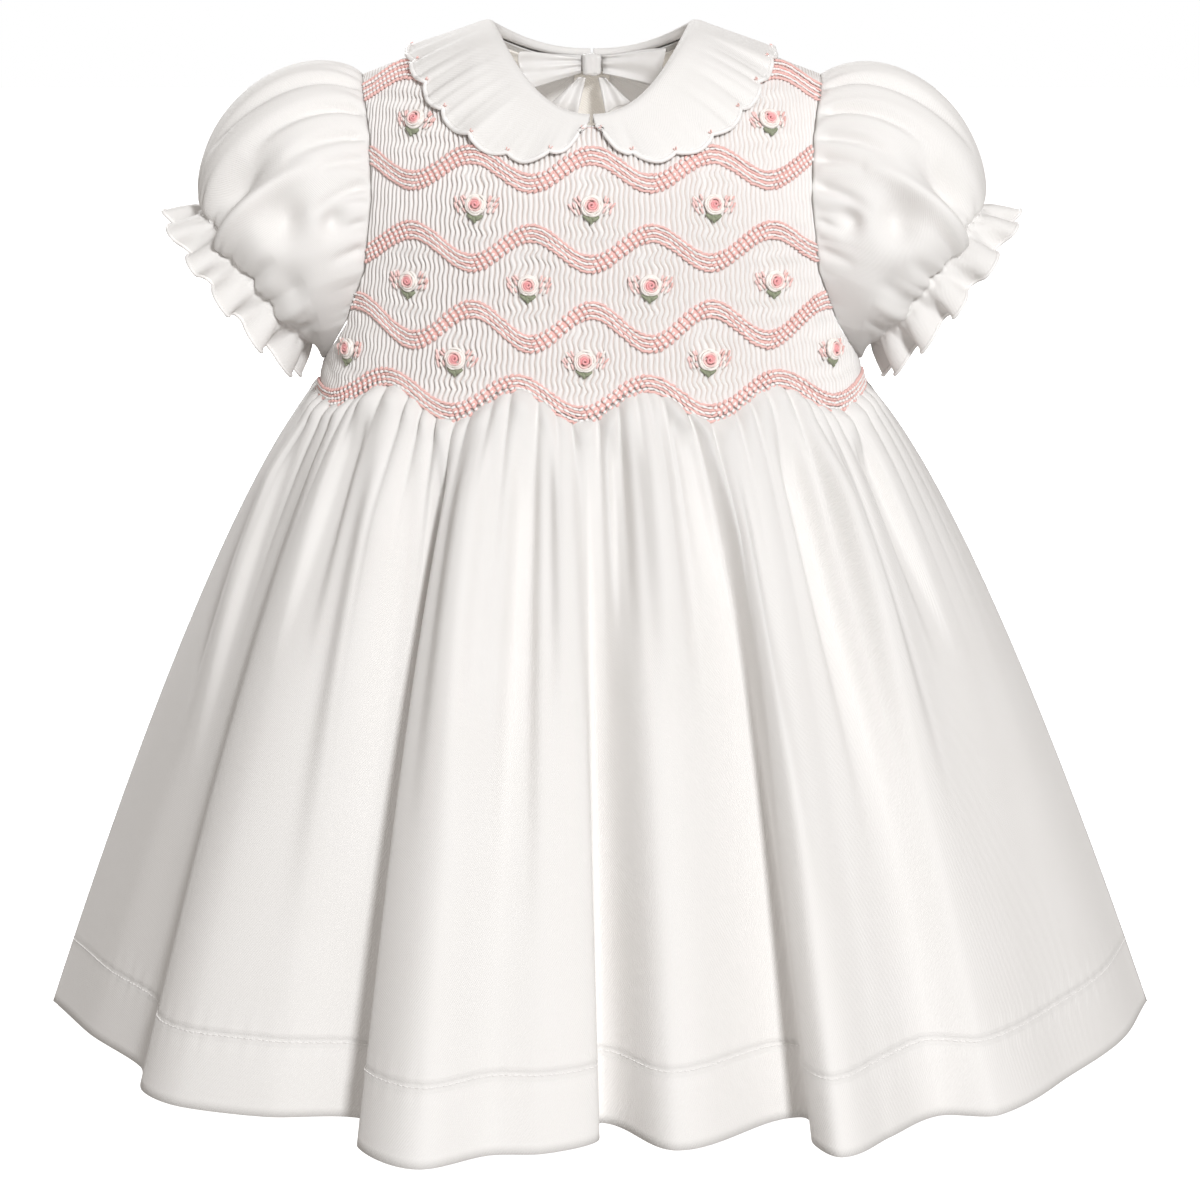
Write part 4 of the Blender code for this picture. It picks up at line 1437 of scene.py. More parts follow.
@dataclass(frozen=True)
class Skirt:
    """One gathered skirt panel with its deep hem."""

    form: Bodice
    name: str
    node: str
    facing: Facing
    hem: tuple
    folds: tuple
    gathers: int
    columns: int
    rows: int
    cut: tuple
    flat: tuple
    hem_z: float = -390.0
    hem_shift: float = 3.2
    flare: float = 0.76
    fold_rise: float = 0.5
    sharper: float = 1.4
    gather_height: float = 4.6
    hem_depth: float = 27.5
    hem_rows: tuple = (-2.4, -1.2, -0.45, 0.45, 1.2, 2.4)
    stitch_pitch: float = 3.4
    top_half: float = 106.0
    hold: float = 0.009
    wall: float = 0.8

    def lines(self) -> tuple[np.ndarray, np.ndarray]:
        """Works out the panel's top edge and its hem.

        Returns:
            The points of both, evenly spaced.
        """
        angle = np.linspace(-np.pi / 2, np.pi / 2, 721)
        x = self.top_half * np.sin(angle)
        z = self.form.wave_z(x, self.facing) - EDGE_GAP
        x = self.form.at(z).half_width * np.sin(angle)
        top = self.form.surface(x, z, self.facing)
        turns = np.array([(turn.x + self.hem_shift, turn.y, self.hem_z) for turn in self.hem])
        return (even_points(top, self.columns + 1),
                even_points(smooth_line(turns), self.columns + 1))

    def plain_hem(self, hem: np.ndarray) -> np.ndarray:
        """Smooths the hem's folds away.

        Args:
            hem: the folded hem's points.

        Returns:
            The smoothed points.
        """
        held = int(self.columns * 0.09)
        ends = np.vstack((2 * hem[:1] - hem[held:0:-1], hem, 2 * hem[-1:] - hem[-2:-held - 2:-1]))
        spread = np.arange(-held, held + 1) / (held * 0.42)
        weights = np.exp(-spread ** 2) / np.exp(-spread ** 2).sum()
        return np.stack([np.convolve(ends[:, axis], weights, "valid") for axis in range(3)],
                        axis=-1)

    def row_places(self, hem_v: float, tall: float) -> np.ndarray:
        """Works out how far down each row lies, closer together at the hem's line of stitches.

        Args:
            hem_v: the stitches' share of the way down.
            tall: the skirt's height.

        Returns:
            The shares of the way down, from the hem up.
        """
        t = np.linspace(0.0, 1.0, self.rows + 1)
        rows = 0.35 * t ** 2 + 0.65 * t
        extra = hem_v + np.array(self.hem_rows) / tall
        rows = rows[(rows < extra[0] - 0.004) | (rows > extra[-1] + 0.004)]
        return np.sort(np.concatenate((rows, extra)))[::-1][:, None]

    def puffs(self, s: np.ndarray, fallen: np.ndarray) -> np.ndarray:
        """Works out how far the cloth puffs out between its gathers, just below the smocking.

        Args:
            s: places across the panel, 0 to 1.
            fallen: how far below the top edge each is.

        Returns:
            The height at each place.
        """
        draw = np.random.default_rng(SEED + 50 + self.gathers)
        widths = draw.uniform(0.55, 1.5, self.gathers)
        edges = np.concatenate(([0.0], np.cumsum(widths))) / widths.sum()
        count = np.interp(s, edges, np.arange(self.gathers + 1))
        which = np.minimum(count.astype(int), self.gathers - 1)
        size = (widths * draw.uniform(0.75, 1.2, self.gathers))[which]
        length = draw.uniform(14.0, 52.0, self.gathers + 1)
        part = count - which
        reach = length[which] + (length[which + 1] - length[which]) * smooth(part)
        start = 1.0 - np.exp(-((fallen / 2.0) ** 2))
        head = 1.0 + 0.45 * bump(fallen - 5.5, 4.0)
        return (self.gather_height * size * (lobes(part, 0.55) - 0.25) * start * head
                * np.exp(-fallen / reach))

    def points(self) -> tuple[np.ndarray, int]:
        """Works out the panel's outer surface.

        Returns:
            The points, by row and column, and the row of the hem's stitches.
        """
        top, hem = self.lines()
        plain = self.plain_hem(hem)
        tall = -self.hem_z + self.form.bottom_z
        hem_v = 1.0 - self.hem_depth / tall
        v = self.row_places(hem_v, tall)
        s = np.linspace(0.0, 1.0, self.columns + 1)[None, :]
        free = np.clip((v - self.hold) / (1.0 - self.hold), 0.0, 1.0)
        out = free ** self.flare
        share = np.stack(np.broadcast_arrays(out, out, v), axis=-1)
        folds = (hem - plain)[None] * (free ** self.fold_rise)[..., None] * (1.0, 1.0, 0.0)
        points = top[None] + (plain - top)[None] * share + folds
        fallen = top[None, :, 2] - points[..., 2]
        outward = unit(points * np.array((1.0, 2.2, 0.0)))
        lift = self.puffs(np.broadcast_to(s, fallen.shape), fallen)
        for fold in self.folds:
            lift = lift + fold.depth * self.sharper * fold.lift(s, v)
        lift = lift + 0.8 * wander(s * 1000 + 60 * v, 210.0, 60) * smooth(v * 4)
        below = (v - hem_v) * tall
        pucker = 0.22 * wander(s * self.cut[0], 11.0, 61) * bump(below, 7.0)
        lift = lift + pucker - 0.45 * bump(below, 0.7) + 0.4 * smooth((below + 0.45) / 0.9)
        calm = np.minimum(1.0, 12.0 * np.minimum(s, 1.0 - s))
        points = points + outward * (lift * calm)[..., None]
        side = self.facing.value
        points[..., 1] = side * np.maximum(side * points[..., 1], SEAM_GAP / 2)
        return points, int(np.argmin(np.abs(below[:, 0])))

    def build(self, finishes: Finishes) -> None:
        """Builds the panel and the stitches of its hem.

        Args:
            finishes: the dress's materials.
        """
        points, row = self.points()
        panel = Piece(self.name, grid_mesh(points, SKIRT_MIDDLE), [finishes.cotton], "cotton",
                      [self.node], wall=self.wall, cut=self.cut)
        line = even_points(points[row], 2 * int(self.cut[0] / self.stitch_pitch) + 1)
        along = np.gradient(line, axis=0)
        outward = unit(np.cross(along, (0.0, 0.0, 1.0)))
        outward *= np.sign((outward * line * (1.0, 1.0, 0.0)).sum(-1, keepdims=True))
        stitches = Stitches()
        for index in range(1, len(line) - 1, 2):
            stitches.add(line[index] + outward[index] * 0.1, along[index], outward[index],
                         2.3, 0.5)
        seam = Piece(f"{self.name}_hem_stitches", stitches.build(bmesh.new()), [finishes.white],
                     "cotton")
        panel.sheet()


FRONT_HEM = tuple(Turn(x, y) for x, y in (
    (-225, 0), (-203, -40), (-178, -76), (-174, -101), (-158, -118), (-124, -129), (-86, -131),
    (-88, -158), (-66, -179), (-40, -166), (-20, -165), (-1, -153), (1, -134), (29, -161),
    (74, -129), (78, -156), (88, -168), (106, -148), (126, -127), (149, -127), (180, -88),
    (206, -48), (225, 0)))

BACK_HEM = tuple(Turn(x, y) for x, y in (
    (-225, 0), (-208, 42), (-178, 70), (-164, 108), (-132, 122), (-104, 112), (-88, 150),
    (-54, 156), (-28, 124), (-4, 158), (26, 160), (50, 126), (72, 152), (98, 142), (120, 110),
    (148, 122), (172, 76), (206, 46), (225, 0)))

FRONT_FOLDS = (
    SoftFold(0.07, 0.09, 0.02, 0.60, 4.0, 0.016), SoftFold(0.19, 0.21, 0.02, 0.42, -4.0, 0.014),
    SoftFold(0.25, 0.25, 0.05, 0.80, 4.0, 0.020), SoftFold(0.31, 0.30, 0.02, 0.70, -6.0, 0.014),
    SoftFold(0.36, 0.36, 0.02, 0.62, 5.0, 0.015), SoftFold(0.415, 0.42, 0.02, 0.80, -4.5, 0.012),
    SoftFold(0.46, 0.455, 0.02, 0.50, 4.5, 0.014), SoftFold(0.53, 0.53, 0.02, 0.36, -4.5, 0.012),
    SoftFold(0.57, 0.57, 0.02, 0.46, 4.5, 0.014), SoftFold(0.61, 0.62, 0.02, 0.30, -3.5, 0.012),
    SoftFold(0.66, 0.69, 0.02, 0.74, 6.0, 0.016), SoftFold(0.745, 0.77, 0.02, 0.70, -6.0, 0.014),
    SoftFold(0.79, 0.81, 0.03, 0.60, 5.0, 0.015), SoftFold(0.86, 0.87, 0.03, 0.40, -4.0, 0.014))

BACK_FOLDS = (
    SoftFold(0.12, 0.13, 0.02, 0.55, 4.5, 0.018), SoftFold(0.24, 0.23, 0.02, 0.70, -4.5, 0.016),
    SoftFold(0.36, 0.35, 0.02, 0.50, 5.0, 0.018), SoftFold(0.48, 0.49, 0.02, 0.65, -5.0, 0.016),
    SoftFold(0.60, 0.61, 0.02, 0.55, 5.0, 0.018), SoftFold(0.72, 0.72, 0.02, 0.72, -4.5, 0.016),
    SoftFold(0.86, 0.87, 0.02, 0.48, 4.5, 0.018))


# ---------------------------------------------------------------- sleeves


class Gathers(NamedTuple):
    """A row of gathers round a sleeve: how many, how unevenly they lie, and their height."""

    count: int
    sway: float
    wave: float
    seed: int
    height: float
    sharpness: float

    def heights(self, share: np.ndarray, side: int) -> np.ndarray:
        """Returns their height at shares of the way round one of the two sleeves."""
        count = self.count * share + self.sway * wander(share * 10, self.wave, self.seed + side)
        return self.height * (lobes(count, self.sharpness) - 0.6)


class Crease(NamedTuple):
    """A crease of the sleeve: its turns round it at head and cuff, reach, depth and width."""

    head: float
    cuff: float
    starts: float
    ends: float
    depth: float
    width: float


class Hollow(NamedTuple):
    """A soft dent in the puff: its turn and reach, their widths and its depth."""

    turn: float
    reach: float
    turn_width: float
    reach_width: float
    depth: float


@dataclass(frozen=True)
class Sleeve:
    """One puff sleeve, cut in one with the ruffle below its elastic."""

    form: Bodice
    side: int
    hand: str
    columns: int = 288
    puff_rows: int = 64
    ruffle_rows: int = 14
    cuff_centre: tuple = (130.5, 0.0, -90.0)
    cuff_radius: float = 34.5
    cuff_axis: tuple = (0.78, 0.0, -0.62)
    fullness: float = 0.4
    head_rise: float = 0.15
    ruffle_waves: int = 12
    ruffle_length: float = 12.5
    ruffle_flare: float = 2.6
    ruffle_wave: float = 4.8
    head_gathers: Gathers = Gathers(32, 0.5, 1.7, 70, 1.5, 0.7)
    cuff_gathers: Gathers = Gathers(44, 0.5, 1.1, 72, 2.2, 0.8)
    long_gathers: Gathers = Gathers(23, 0.6, 1.6, 74, 1.6, 0.7)
    wall: float = 0.6
    creases: tuple = (
        Crease(0.045, 0.05, -0.4, 0.75, -3.4, 0.010), Crease(0.085, 0.115, -0.4, 0.6, -4.4, 0.010),
        Crease(0.125, 0.17, -0.4, 0.42, -3.6, 0.009), Crease(0.155, 0.20, -0.5, 0.28, -3.4, 0.008),
        Crease(0.19, 0.25, -0.5, 0.36, -3.6, 0.009), Crease(0.235, 0.28, -0.5, 0.22, -2.6, 0.008),
        Crease(0.27, 0.30, -0.5, 0.3, -2.0, 0.010), Crease(0.16, 0.175, 0.25, 1.2, 5.0, 0.013),
        Crease(0.28, 0.30, 0.5, 1.3, -2.2, 0.012), Crease(0.235, 0.245, 0.65, 1.35, -2.2, 0.010),
        Crease(0.34, 0.38, 0.45, 1.25, -3.6, 0.013), Crease(0.31, 0.33, 0.5, 1.2, 2.6, 0.012),
        Crease(0.60, 0.60, 0.1, 1.2, -3.4, 0.018), Crease(0.70, 0.66, -0.4, 0.5, -3.2, 0.012),
        Crease(0.78, 0.76, 0.2, 1.0, 3.4, 0.016), Crease(0.82, 0.78, -0.4, 0.45, -3.4, 0.011),
        Crease(0.88, 0.86, -0.4, 0.6, -3.8, 0.012), Crease(0.945, 0.93, -0.4, 0.5, -3.4, 0.011))
    hollows: tuple = (
        Hollow(0.125, 0.70, 0.024, 0.22, -11.0), Hollow(0.205, 0.50, 0.028, 0.12, -9.5),
        Hollow(0.23, 0.22, 0.015, 0.07, -5.5), Hollow(0.29, 0.62, 0.035, 0.14, -3.0),
        Hollow(0.40, 0.65, 0.030, 0.20, -3.5), Hollow(0.70, 0.60, 0.040, 0.18, -7.0),
        Hollow(0.87, 0.70, 0.028, 0.20, -6.5), Hollow(0.63, 0.35, 0.03, 0.14, -4.0))

    def ring(self) -> np.ndarray:
        """Works out the armhole edge.

        Returns:
            Its points, from the shoulder tip down the front and up the back.
        """
        z = np.linspace(self.form.shoulder_tip_z, self.form.armpit_z, 240)
        x = self.form.at(z).edge
        front = np.stack((x, -self.form.depth(x, z, Facing.FRONT), z), axis=-1)
        back = np.stack((x, self.form.depth(x, z, Facing.BACK), z), axis=-1)[::-1]
        ring = np.vstack((front, back[1:])) * np.array((self.side, 1.0, 1.0))
        return even_points(ring, self.columns + 1)

    def frame(self) -> tuple[np.ndarray, np.ndarray, np.ndarray]:
        """Works out how the cuff lies.

        Returns:
            Its centre, the direction that the arm leaves in and the cuff's top direction.
        """
        mirror = np.array((self.side, 1.0, 1.0))
        up = unit(np.array((-self.side * self.cuff_axis[2], 0.0, self.cuff_axis[0])))
        return np.array(self.cuff_centre) * mirror, unit(np.array(self.cuff_axis) * mirror), up

    def spokes(self, turn: np.ndarray, up: np.ndarray) -> np.ndarray:
        """Returns the directions from the cuff's centre at some turns from its top."""
        return np.cos(turn)[..., None] * up + np.sin(turn)[..., None] * np.array((0.0, -1.0, 0.0))

    def plain_puff(self, share: np.ndarray) -> tuple[np.ndarray, np.ndarray, np.ndarray]:
        """Works out the puff without its gathers and creases.

        Args:
            share: the columns' shares of the way round.

        Returns:
            The points, by row and column, their directions away from the puff's middle, and how
            much of the gathers each column takes.
        """
        centre, axis, up = self.frame()
        ring = self.ring()
        middle = ring[:-1].mean(axis=0)
        turn = 2 * np.pi * share
        start = ring + np.array((self.side * EDGE_GAP, 0.0, 0.0))
        around = self.spokes(turn, up)
        end = centre + around * self.cuff_radius
        length = np.linalg.norm(end - start, axis=1) * self.fullness
        rise = 0.45 + self.head_rise * np.maximum(0.0, np.cos(turn))
        leave = unit(np.array((self.side * 0.9, 0.0, 0.0)) + unit(ring - middle) * rise[:, None])
        arrive = unit(around - 0.5 * axis)
        t = np.linspace(0.0, 1.0, self.puff_rows + 1)[:, None, None]
        puff = ((1 - t) ** 3 * start + 3 * (1 - t) ** 2 * t * (start + leave * length[:, None])
                + 3 * (1 - t) * t * t * (end + arrive * length[:, None]) + t ** 3 * end)
        out = unit(puff - (middle + (centre - middle) * t))
        return puff, out, np.minimum(1.0, length / 20.0)

    def lift(self, t: np.ndarray, share: np.ndarray, full: np.ndarray) -> np.ndarray:
        """Works out how far gathers, creases and hollows move the cloth out.

        Args:
            t: the rows' shares of the way from armhole to cuff.
            share: the columns' shares of the way round.
            full: how much of the gathers each column takes.

        Returns:
            The distance at each point.
        """
        head = (self.head_gathers.heights(share, self.side) * np.exp(-t / 0.13)
                * np.minimum(1.0, 20 * t))
        cuff = self.cuff_gathers.heights(share, self.side) * np.exp(-(1.0 - t) / 0.06)
        cuff = cuff + (self.long_gathers.heights(share, self.side) * np.exp(-(1.0 - t) / 0.17)
                       * smooth((1.0 - t) * 12.0))
        lift = (1.5 * head + cuff) * full - 1.5 * bump((1.0 - t) * 90.0, 2.2)
        for crease in self.creases:
            place = crease.head + (crease.cuff - crease.head) * t
            reach = np.clip((t - crease.starts) / (crease.ends - crease.starts), 0.0, 1.0)
            across = bump(ring_gap(share, place), crease.width * (0.6 + 0.6 * t))
            shape = across * np.sin(np.pi * reach) ** 0.8
            lift = lift + crease.depth * shape * np.minimum(1.0, 16 * t)
        for hollow in self.hollows:
            across = bump(ring_gap(share, hollow.turn), hollow.turn_width)
            lift = lift + hollow.depth * across * bump(t - hollow.reach, hollow.reach_width)
        return lift + 0.7 * wander(share * 10 + t, 2.1, 75) * np.sin(np.pi * t)

    def ruffle(self, share: np.ndarray) -> np.ndarray:
        """Works out the ruffle below the elastic.

        Args:
            share: the columns' shares of the way round.

        Returns:
            The points, by row and column.
        """
        centre, axis, up = self.frame()
        turn = 2 * np.pi * share
        k = np.linspace(0.0, 1.0, self.ruffle_rows + 1)[1:, None]
        waves = self.ruffle_waves * turn + 0.7 * wander(share * 10, 3.1, 77 + self.side)
        shift = 0.3 * np.sin(2 * waves + 0.5) + 0.5 * np.sin(waves + 1.2)
        swing = turn + k * shift / self.ruffle_waves
        fine = (np.abs(np.sin(np.pi * 44 * share[None, :])) ** 0.8 - 0.6) * np.exp(-k / 0.3)
        radius = (self.cuff_radius - 1.5 * np.exp(-k / 0.16) + self.ruffle_flare * k
                  + self.ruffle_wave * k ** 0.7 * np.cos(waves) + fine)
        reach = self.ruffle_length * k + 0.8 * k * np.sin(waves + 1.0)
        return centre + axis * reach[..., None] + self.spokes(swing, up) * radius[..., None]

    def points(self) -> np.ndarray:
        """Works out the sleeve's outer surface.

        Returns:
            The points, by row and column, from the armhole to the ruffle's edge.
        """
        share = np.linspace(0.0, 1.0, self.columns + 1)
        puff, out, full = self.plain_puff(share)
        t = np.linspace(0.0, 1.0, self.puff_rows + 1)[:, None]
        lift = self.lift(t, share[None, :], full)
        facing = unit(np.cross(np.gradient(puff, axis=0), np.gradient(puff, axis=1)))
        facing[:, [0, -1]] = unit(facing[:, :1] + facing[:, -1:])
        facing = unit(facing * np.sign((facing * out).sum(-1, keepdims=True)) + 0.25 * out)
        puff = puff + facing * (lift * full)[..., None]
        grid = np.vstack((puff, self.ruffle(share)))
        grid[:, -1] = grid[:, 0]
        return grid

    def build(self, finishes: Finishes) -> None:
        """Builds the sleeve, its ruffle's rolled edge and the stitches along its elastic.

        Args:
            finishes: the dress's materials.
        """
        grid = self.points()
        centre, axis, _ = self.frame()
        inside = centre + np.array((-16.0 * self.side, 0.0, 16.0))
        cloth = Piece(f"puff_sleeve_{self.hand}", grid_mesh(grid[::-1], inside),
                      [finishes.cotton], "cotton", [f"sleeve_{self.hand}"], wall=self.wall,
                      cut=(430.0, 130.0))
        edge = grid[-1][:-1]
        along = unit(np.roll(edge, -1, axis=0) - np.roll(edge, 1, axis=0))
        rope = tube(np.vstack((edge, edge[:1])), np.full(len(edge) + 1, 0.72), 6, axis)
        rope[-1] = rope[0]
        roll = Piece(f"ruffle_edge_{self.hand}", grid_mesh(rope), [finishes.white], "cotton",
                     turn_faces=True)
        cuff = grid[self.puff_rows][:-1]
        stitches = Stitches()
        for index in range(0, self.columns, 3):
            outward = unit(cuff[index] - centre)
            stitches.add(cuff[index] + outward * 0.35, along[index] + axis * 0.25, outward,
                         1.9, 0.5)
        line = Piece(f"cuff_stitches_{self.hand}", stitches.build(bmesh.new()),
                     [finishes.white], "cotton")
        cloth.sheet()


# ---------------------------------------------------------------- collar


@dataclass(frozen=True)
class Collar:
    """One half of the scalloped collar, with its corded edge."""

    form: Bodice
    side: int
    hand: str
    scallops: int = 13
    bulge: float = 2.8
    columns: int = 240
    fall_rows: int = 16
    lift: float = 2.3
    parting: float = 0.7
    wall: float = 0.9
    opened: float = 3.4
    lowest: float = 1.9
    widths: tuple = ((0.0, 3.0), (0.04, 9.0), (0.10, 18.5), (0.16, 23.0), (0.23, 25.5),
                     (0.31, 27.0), (0.88, 27.0), (0.95, 23.0), (1.0, 12.0))
    turns: tuple = ((0.0, 1.4, -0.7), (0.7, 0.0, -0.6), (1.0, 0.0, 1.2), (0.55, 0.0, 3.0))

    def outline(self, along: np.ndarray, point: np.ndarray,
                down: np.ndarray) -> tuple[np.ndarray, np.ndarray]:
        """Works out the fall's scalloped edge.

        Args:
            along: the columns' shares of the way along the neck edge.
            point: the neck edge's points.
            down: their downward directions.

        Returns:
            How far each column reaches, and how many scallops lie before it.
        """
        width = np.interp(along, *zip(*self.widths))
        for _ in range(3):
            width[1:-1] = (width[:-2] + 2 * width[1:-1] + width[2:]) / 4
        rim = self.form.walk(point, down, width, self.fall_rows)[0][-1]
        arc = np.concatenate(([0.0], np.cumsum(np.linalg.norm(np.diff(rim, axis=0), axis=1))))
        count = arc / arc[-1] * self.scallops
        return width + self.bulge * lobes(count, 0.62) - 0.3, count

    def points(self) -> tuple[np.ndarray, list[int]]:
        """Works out the collar's surface.

        Returns:
            The points, by row and column, from stand to fall, and the columns between scallops.
        """
        along = np.linspace(0.0, 1.0, self.columns + 1)
        line = self.form.neck_line(self.side, self.parting, self.columns + 1)
        point, normal, down = self.form.neck_frame(line)
        width, count = self.outline(along, point, down)
        stand = 4.0 + 2.5 * np.sin(np.pi * np.minimum(1.0, along * 1.1)) ** 2
        rolled = [point - down * (stand * up + gap)[:, None] + normal * out
                  for up, gap, out in self.turns]
        found, outward = self.form.walk(point, down, width, self.fall_rows)
        share = np.linspace(0.0, 1.0, self.fall_rows + 1)
        fall = []
        for row in range(2, self.fall_rows + 1):
            soft = (1.25 * wander(along * 100, 12.0, 80 + self.side)
                    + 0.6 * wander(along * 100, 6.0, 82)
                    + 0.35 * np.cos(2 * np.pi * count) * share[row])
            edge = -0.45 * bump((share[row] - 1.0) * 26.0 + 2.2, 0.8)
            high = np.maximum(self.lift + 0.4 + soft * share[row] * 0.9, self.lowest) + edge
            apart = self.opened * self.side * share[row] * np.exp(-(along / 0.05) ** 2)
            fall.append(found[row] + outward[row] * high[:, None]
                        + apart[:, None] * np.array((1.0, 0.0, 0.0)))
        roll = smooth_columns(np.array(rolled + fall[:1]), 4)
        cusps = [int(np.argmin(np.abs(count - number))) for number in range(self.scallops)]
        return np.vstack((roll[:-1], fall)), cusps

    def build(self, finishes: Finishes) -> None:
        """Builds the collar half, its corded edge and the small stitches at its points.

        Args:
            finishes: the dress's materials.
        """
        points, cusps = self.points()
        grid = facing_out(points[::-1], (self.side * 30.0, 0.0, -60.0))
        if np.any(grid[0, 0] != points[-1, 0]):
            cusps = [self.columns - index for index in cusps]
        cloth = Piece(f"collar_{self.hand}_cloth", grid_mesh(grid), [finishes.cotton], "cotton",
                      [f"collar_{self.hand}"], wall=self.wall, cut=(235.0, 40.0))
        edge = grid[0]
        outward = self.form.outward(self.form.settle(edge))
        ends = np.vstack((grid[12:0:-1, 0], edge, grid[1:13, -1]))
        faces = np.vstack((np.repeat(outward[:1], 12, 0), outward, np.repeat(outward[-1:], 12, 0)))
        path = ends - faces * (self.wall / 2)
        size = np.full(len(path), 0.9)
        size[[0, -1]] = 0.05
        cord = Piece(f"collar_{self.hand}_cord", grid_mesh(tube(path, size, 8, faces)),
                     [finishes.white], "cotton", turn_faces=True)
        stitches = Stitches()
        inward = unit(grid[2] - grid[0])
        for index in cusps:
            place = edge[index] + inward[index] * 1.15 + outward[index] * 0.5
            across = np.cross(outward[index], inward[index])
            for lean in (-0.45, 0.45):
                stitches.add(place + across * lean, inward[index] + across * lean,
                             outward[index], 1.3, 0.5)
        dots = Piece(f"collar_{self.hand}_point_stitches", stitches.build(bmesh.new()),
                     [finishes.coral], "rose_thread")
        cloth.sheet()


def smooth_columns(points: np.ndarray, parts: int) -> np.ndarray:
    """Rounds each column of a grid by the same number of steps."""
    lines = [smooth_line(points[:, column], parts) for column in range(points.shape[1])]
    return np.stack(lines, axis=1)


# ---------------------------------------------------------------- bow


class Tail(NamedTuple):
    """One ribbon end: its side, its edges across at the knot and at the cut end, and its fall."""

    hand: str
    side: int
    start: np.ndarray
    end: np.ndarray
    top_z: float
    drop: float


@dataclass(frozen=True)
class Bow:
    """The satin bow at the centre back of the neck."""

    y: float = 26.2
    z: float = -11.0
    curve: float = 0.0138
    knot: tuple = (7.6, 5.0, 8.6)
    reach: float = 24.0
    depth: float = 3.0
    tails: tuple = (Tail("right", -1, np.array((2.4, 6.0)), np.array((5.9, 17.5)), -16.4, 15.0),
                    Tail("left", 1, np.array((2.4, 5.8)), np.array((5.5, 15.5)), -16.4, 13.5))

    def loop(self, side: int, droop: float) -> np.ndarray:
        """Works out one loop of ribbon.

        Args:
            side: -1 for the right loop, 1 for the left.
            droop: how far its end lies above the knot's middle.

        Returns:
            The points, by row and column.
        """
        root = self.knot[0] / 2 + EDGE_GAP
        s = np.linspace(0.0, 1.0, 61)[None, :]
        v = np.linspace(0.0, 1.0, 25)[:, None]
        bulge = np.sin(np.pi * s) ** 0.8
        half = 3.2 + 5.0 * bulge ** 1.15
        x = side * (root + self.reach * bulge) + 0.6 * np.sin(7.0 * v + side) * bulge
        crimp = np.exp(-bulge / 0.3)
        fan = 2.3 * v + 0.25 * np.sin(3.0 * v + 2.0 * side)
        wave = np.sin(2 * np.pi * (0.9 * v + 0.55 * bulge + 0.3 * side))
        creases = (0.9 * np.sin(2 * np.pi * fan) * (0.3 + crimp)
                   + 1.5 * wave * bulge * (1 - 0.5 * bulge))
        y = self.y - self.curve * x * x - self.depth * np.cos(np.pi * s) - creases
        z = (self.z + droop * bulge + (v - 0.5) * 2.0 * half
             + 0.7 * np.sin(5 * s + 2 * v + side) * bulge)
        return np.stack(np.broadcast_arrays(x, y, z), axis=-1)

    def end(self, tail: Tail) -> np.ndarray:
        """Works out one ribbon end.

        Args:
            tail: its sizes.

        Returns:
            The points, by row and column.
        """
        v = np.linspace(1.0, 0.0, 31)[:, None]
        s = np.linspace(0.0, 1.0, 21)[None, :]
        edges = tail.start + (tail.end - tail.start) * v
        x = tail.side * (edges[:, :1] + (edges[:, 1:] - edges[:, :1]) * s)
        z = tail.top_z - v * (tail.drop - 4.5 * s) + 0.4 * np.sin(4 * s)
        fold = np.sin(2 * np.pi * (1.4 * s + 0.25 * v)) * (0.5 + 0.5 * v)
        y = self.y - 1.0 + 1.2 * np.sin(2 * np.pi * v) - fold
        return np.stack(np.broadcast_arrays(x, y, z), axis=-1)

    def wrap(self) -> bmesh.types.BMesh:
        """Works out the knot: a rounded block of ribbon with pinched lines along it.

        Returns:
            The knot's mesh.
        """
        builder = start_mesh()
        bmesh.ops.create_cube(builder, size=1.0, calc_uvs=True)
        bmesh.ops.scale(builder, vec=self.knot, verts=builder.verts)
        bmesh.ops.bevel(builder, geom=builder.edges[:], offset=1.8, offset_type="OFFSET",
                        segments=4, profile=0.5, affect="EDGES", material=-1)
        bmesh.ops.subdivide_edges(builder, edges=builder.edges[:], cuts=3, use_grid_fill=True)
        for vert in builder.verts:
            across = vert.co.x / self.knot[0]
            pinch = 1.0 - 0.09 * math.cos(2 * math.pi * 2.2 * across + 1.3 * vert.co.z / 9.0)
            vert.co.y *= pinch
            vert.co.z *= 1.0 + 0.05 * math.sin(2 * math.pi * 1.8 * across + 0.5)
            vert.co = (vert.co + Vector((0.0, self.y, self.z))) * MM
        return builder

    def build(self, finishes: Finishes) -> None:
        """Builds the knot, the loops and the ends.

        Args:
            finishes: the dress's materials.
        """
        Piece("satin_knot", self.wrap(), [finishes.satin], "satin", ["bow_knot"])
        for hand, side, droop in (("right", -1, -2.5), ("left", 1, -1.0)):
            mesh = grid_mesh(self.loop(side, droop), (side * 16.0, self.y - 3.0, self.z))
            loop = Piece(f"satin_loop_{hand}", mesh, [finishes.satin], "satin",
                         [f"bow_loop_{hand}"], wall=0.5, cut=(52.0, 16.0))
            loop.sheet()
        for tail in self.tails:
            mesh = grid_mesh(self.end(tail), (0.0, self.y + 20.0, self.z))
            end = Piece(f"satin_tail_{tail.hand}", mesh, [finishes.satin], "satin",
                        [f"bow_tail_{tail.hand}"], wall=0.5, cut=(11.0, 18.0))
            end.sheet()


# ---------------------------------------------------------------- studio


@dataclass(frozen=True)
class Lamp:
    """One soft box: where it hangs, its size, power and tint, and where it points."""

    name: str
    place: tuple
    size: float
    power: float
    colour: tuple = (1.0, 1.0, 1.0)
    aim: tuple = (0.0, 0.0, -0.2)


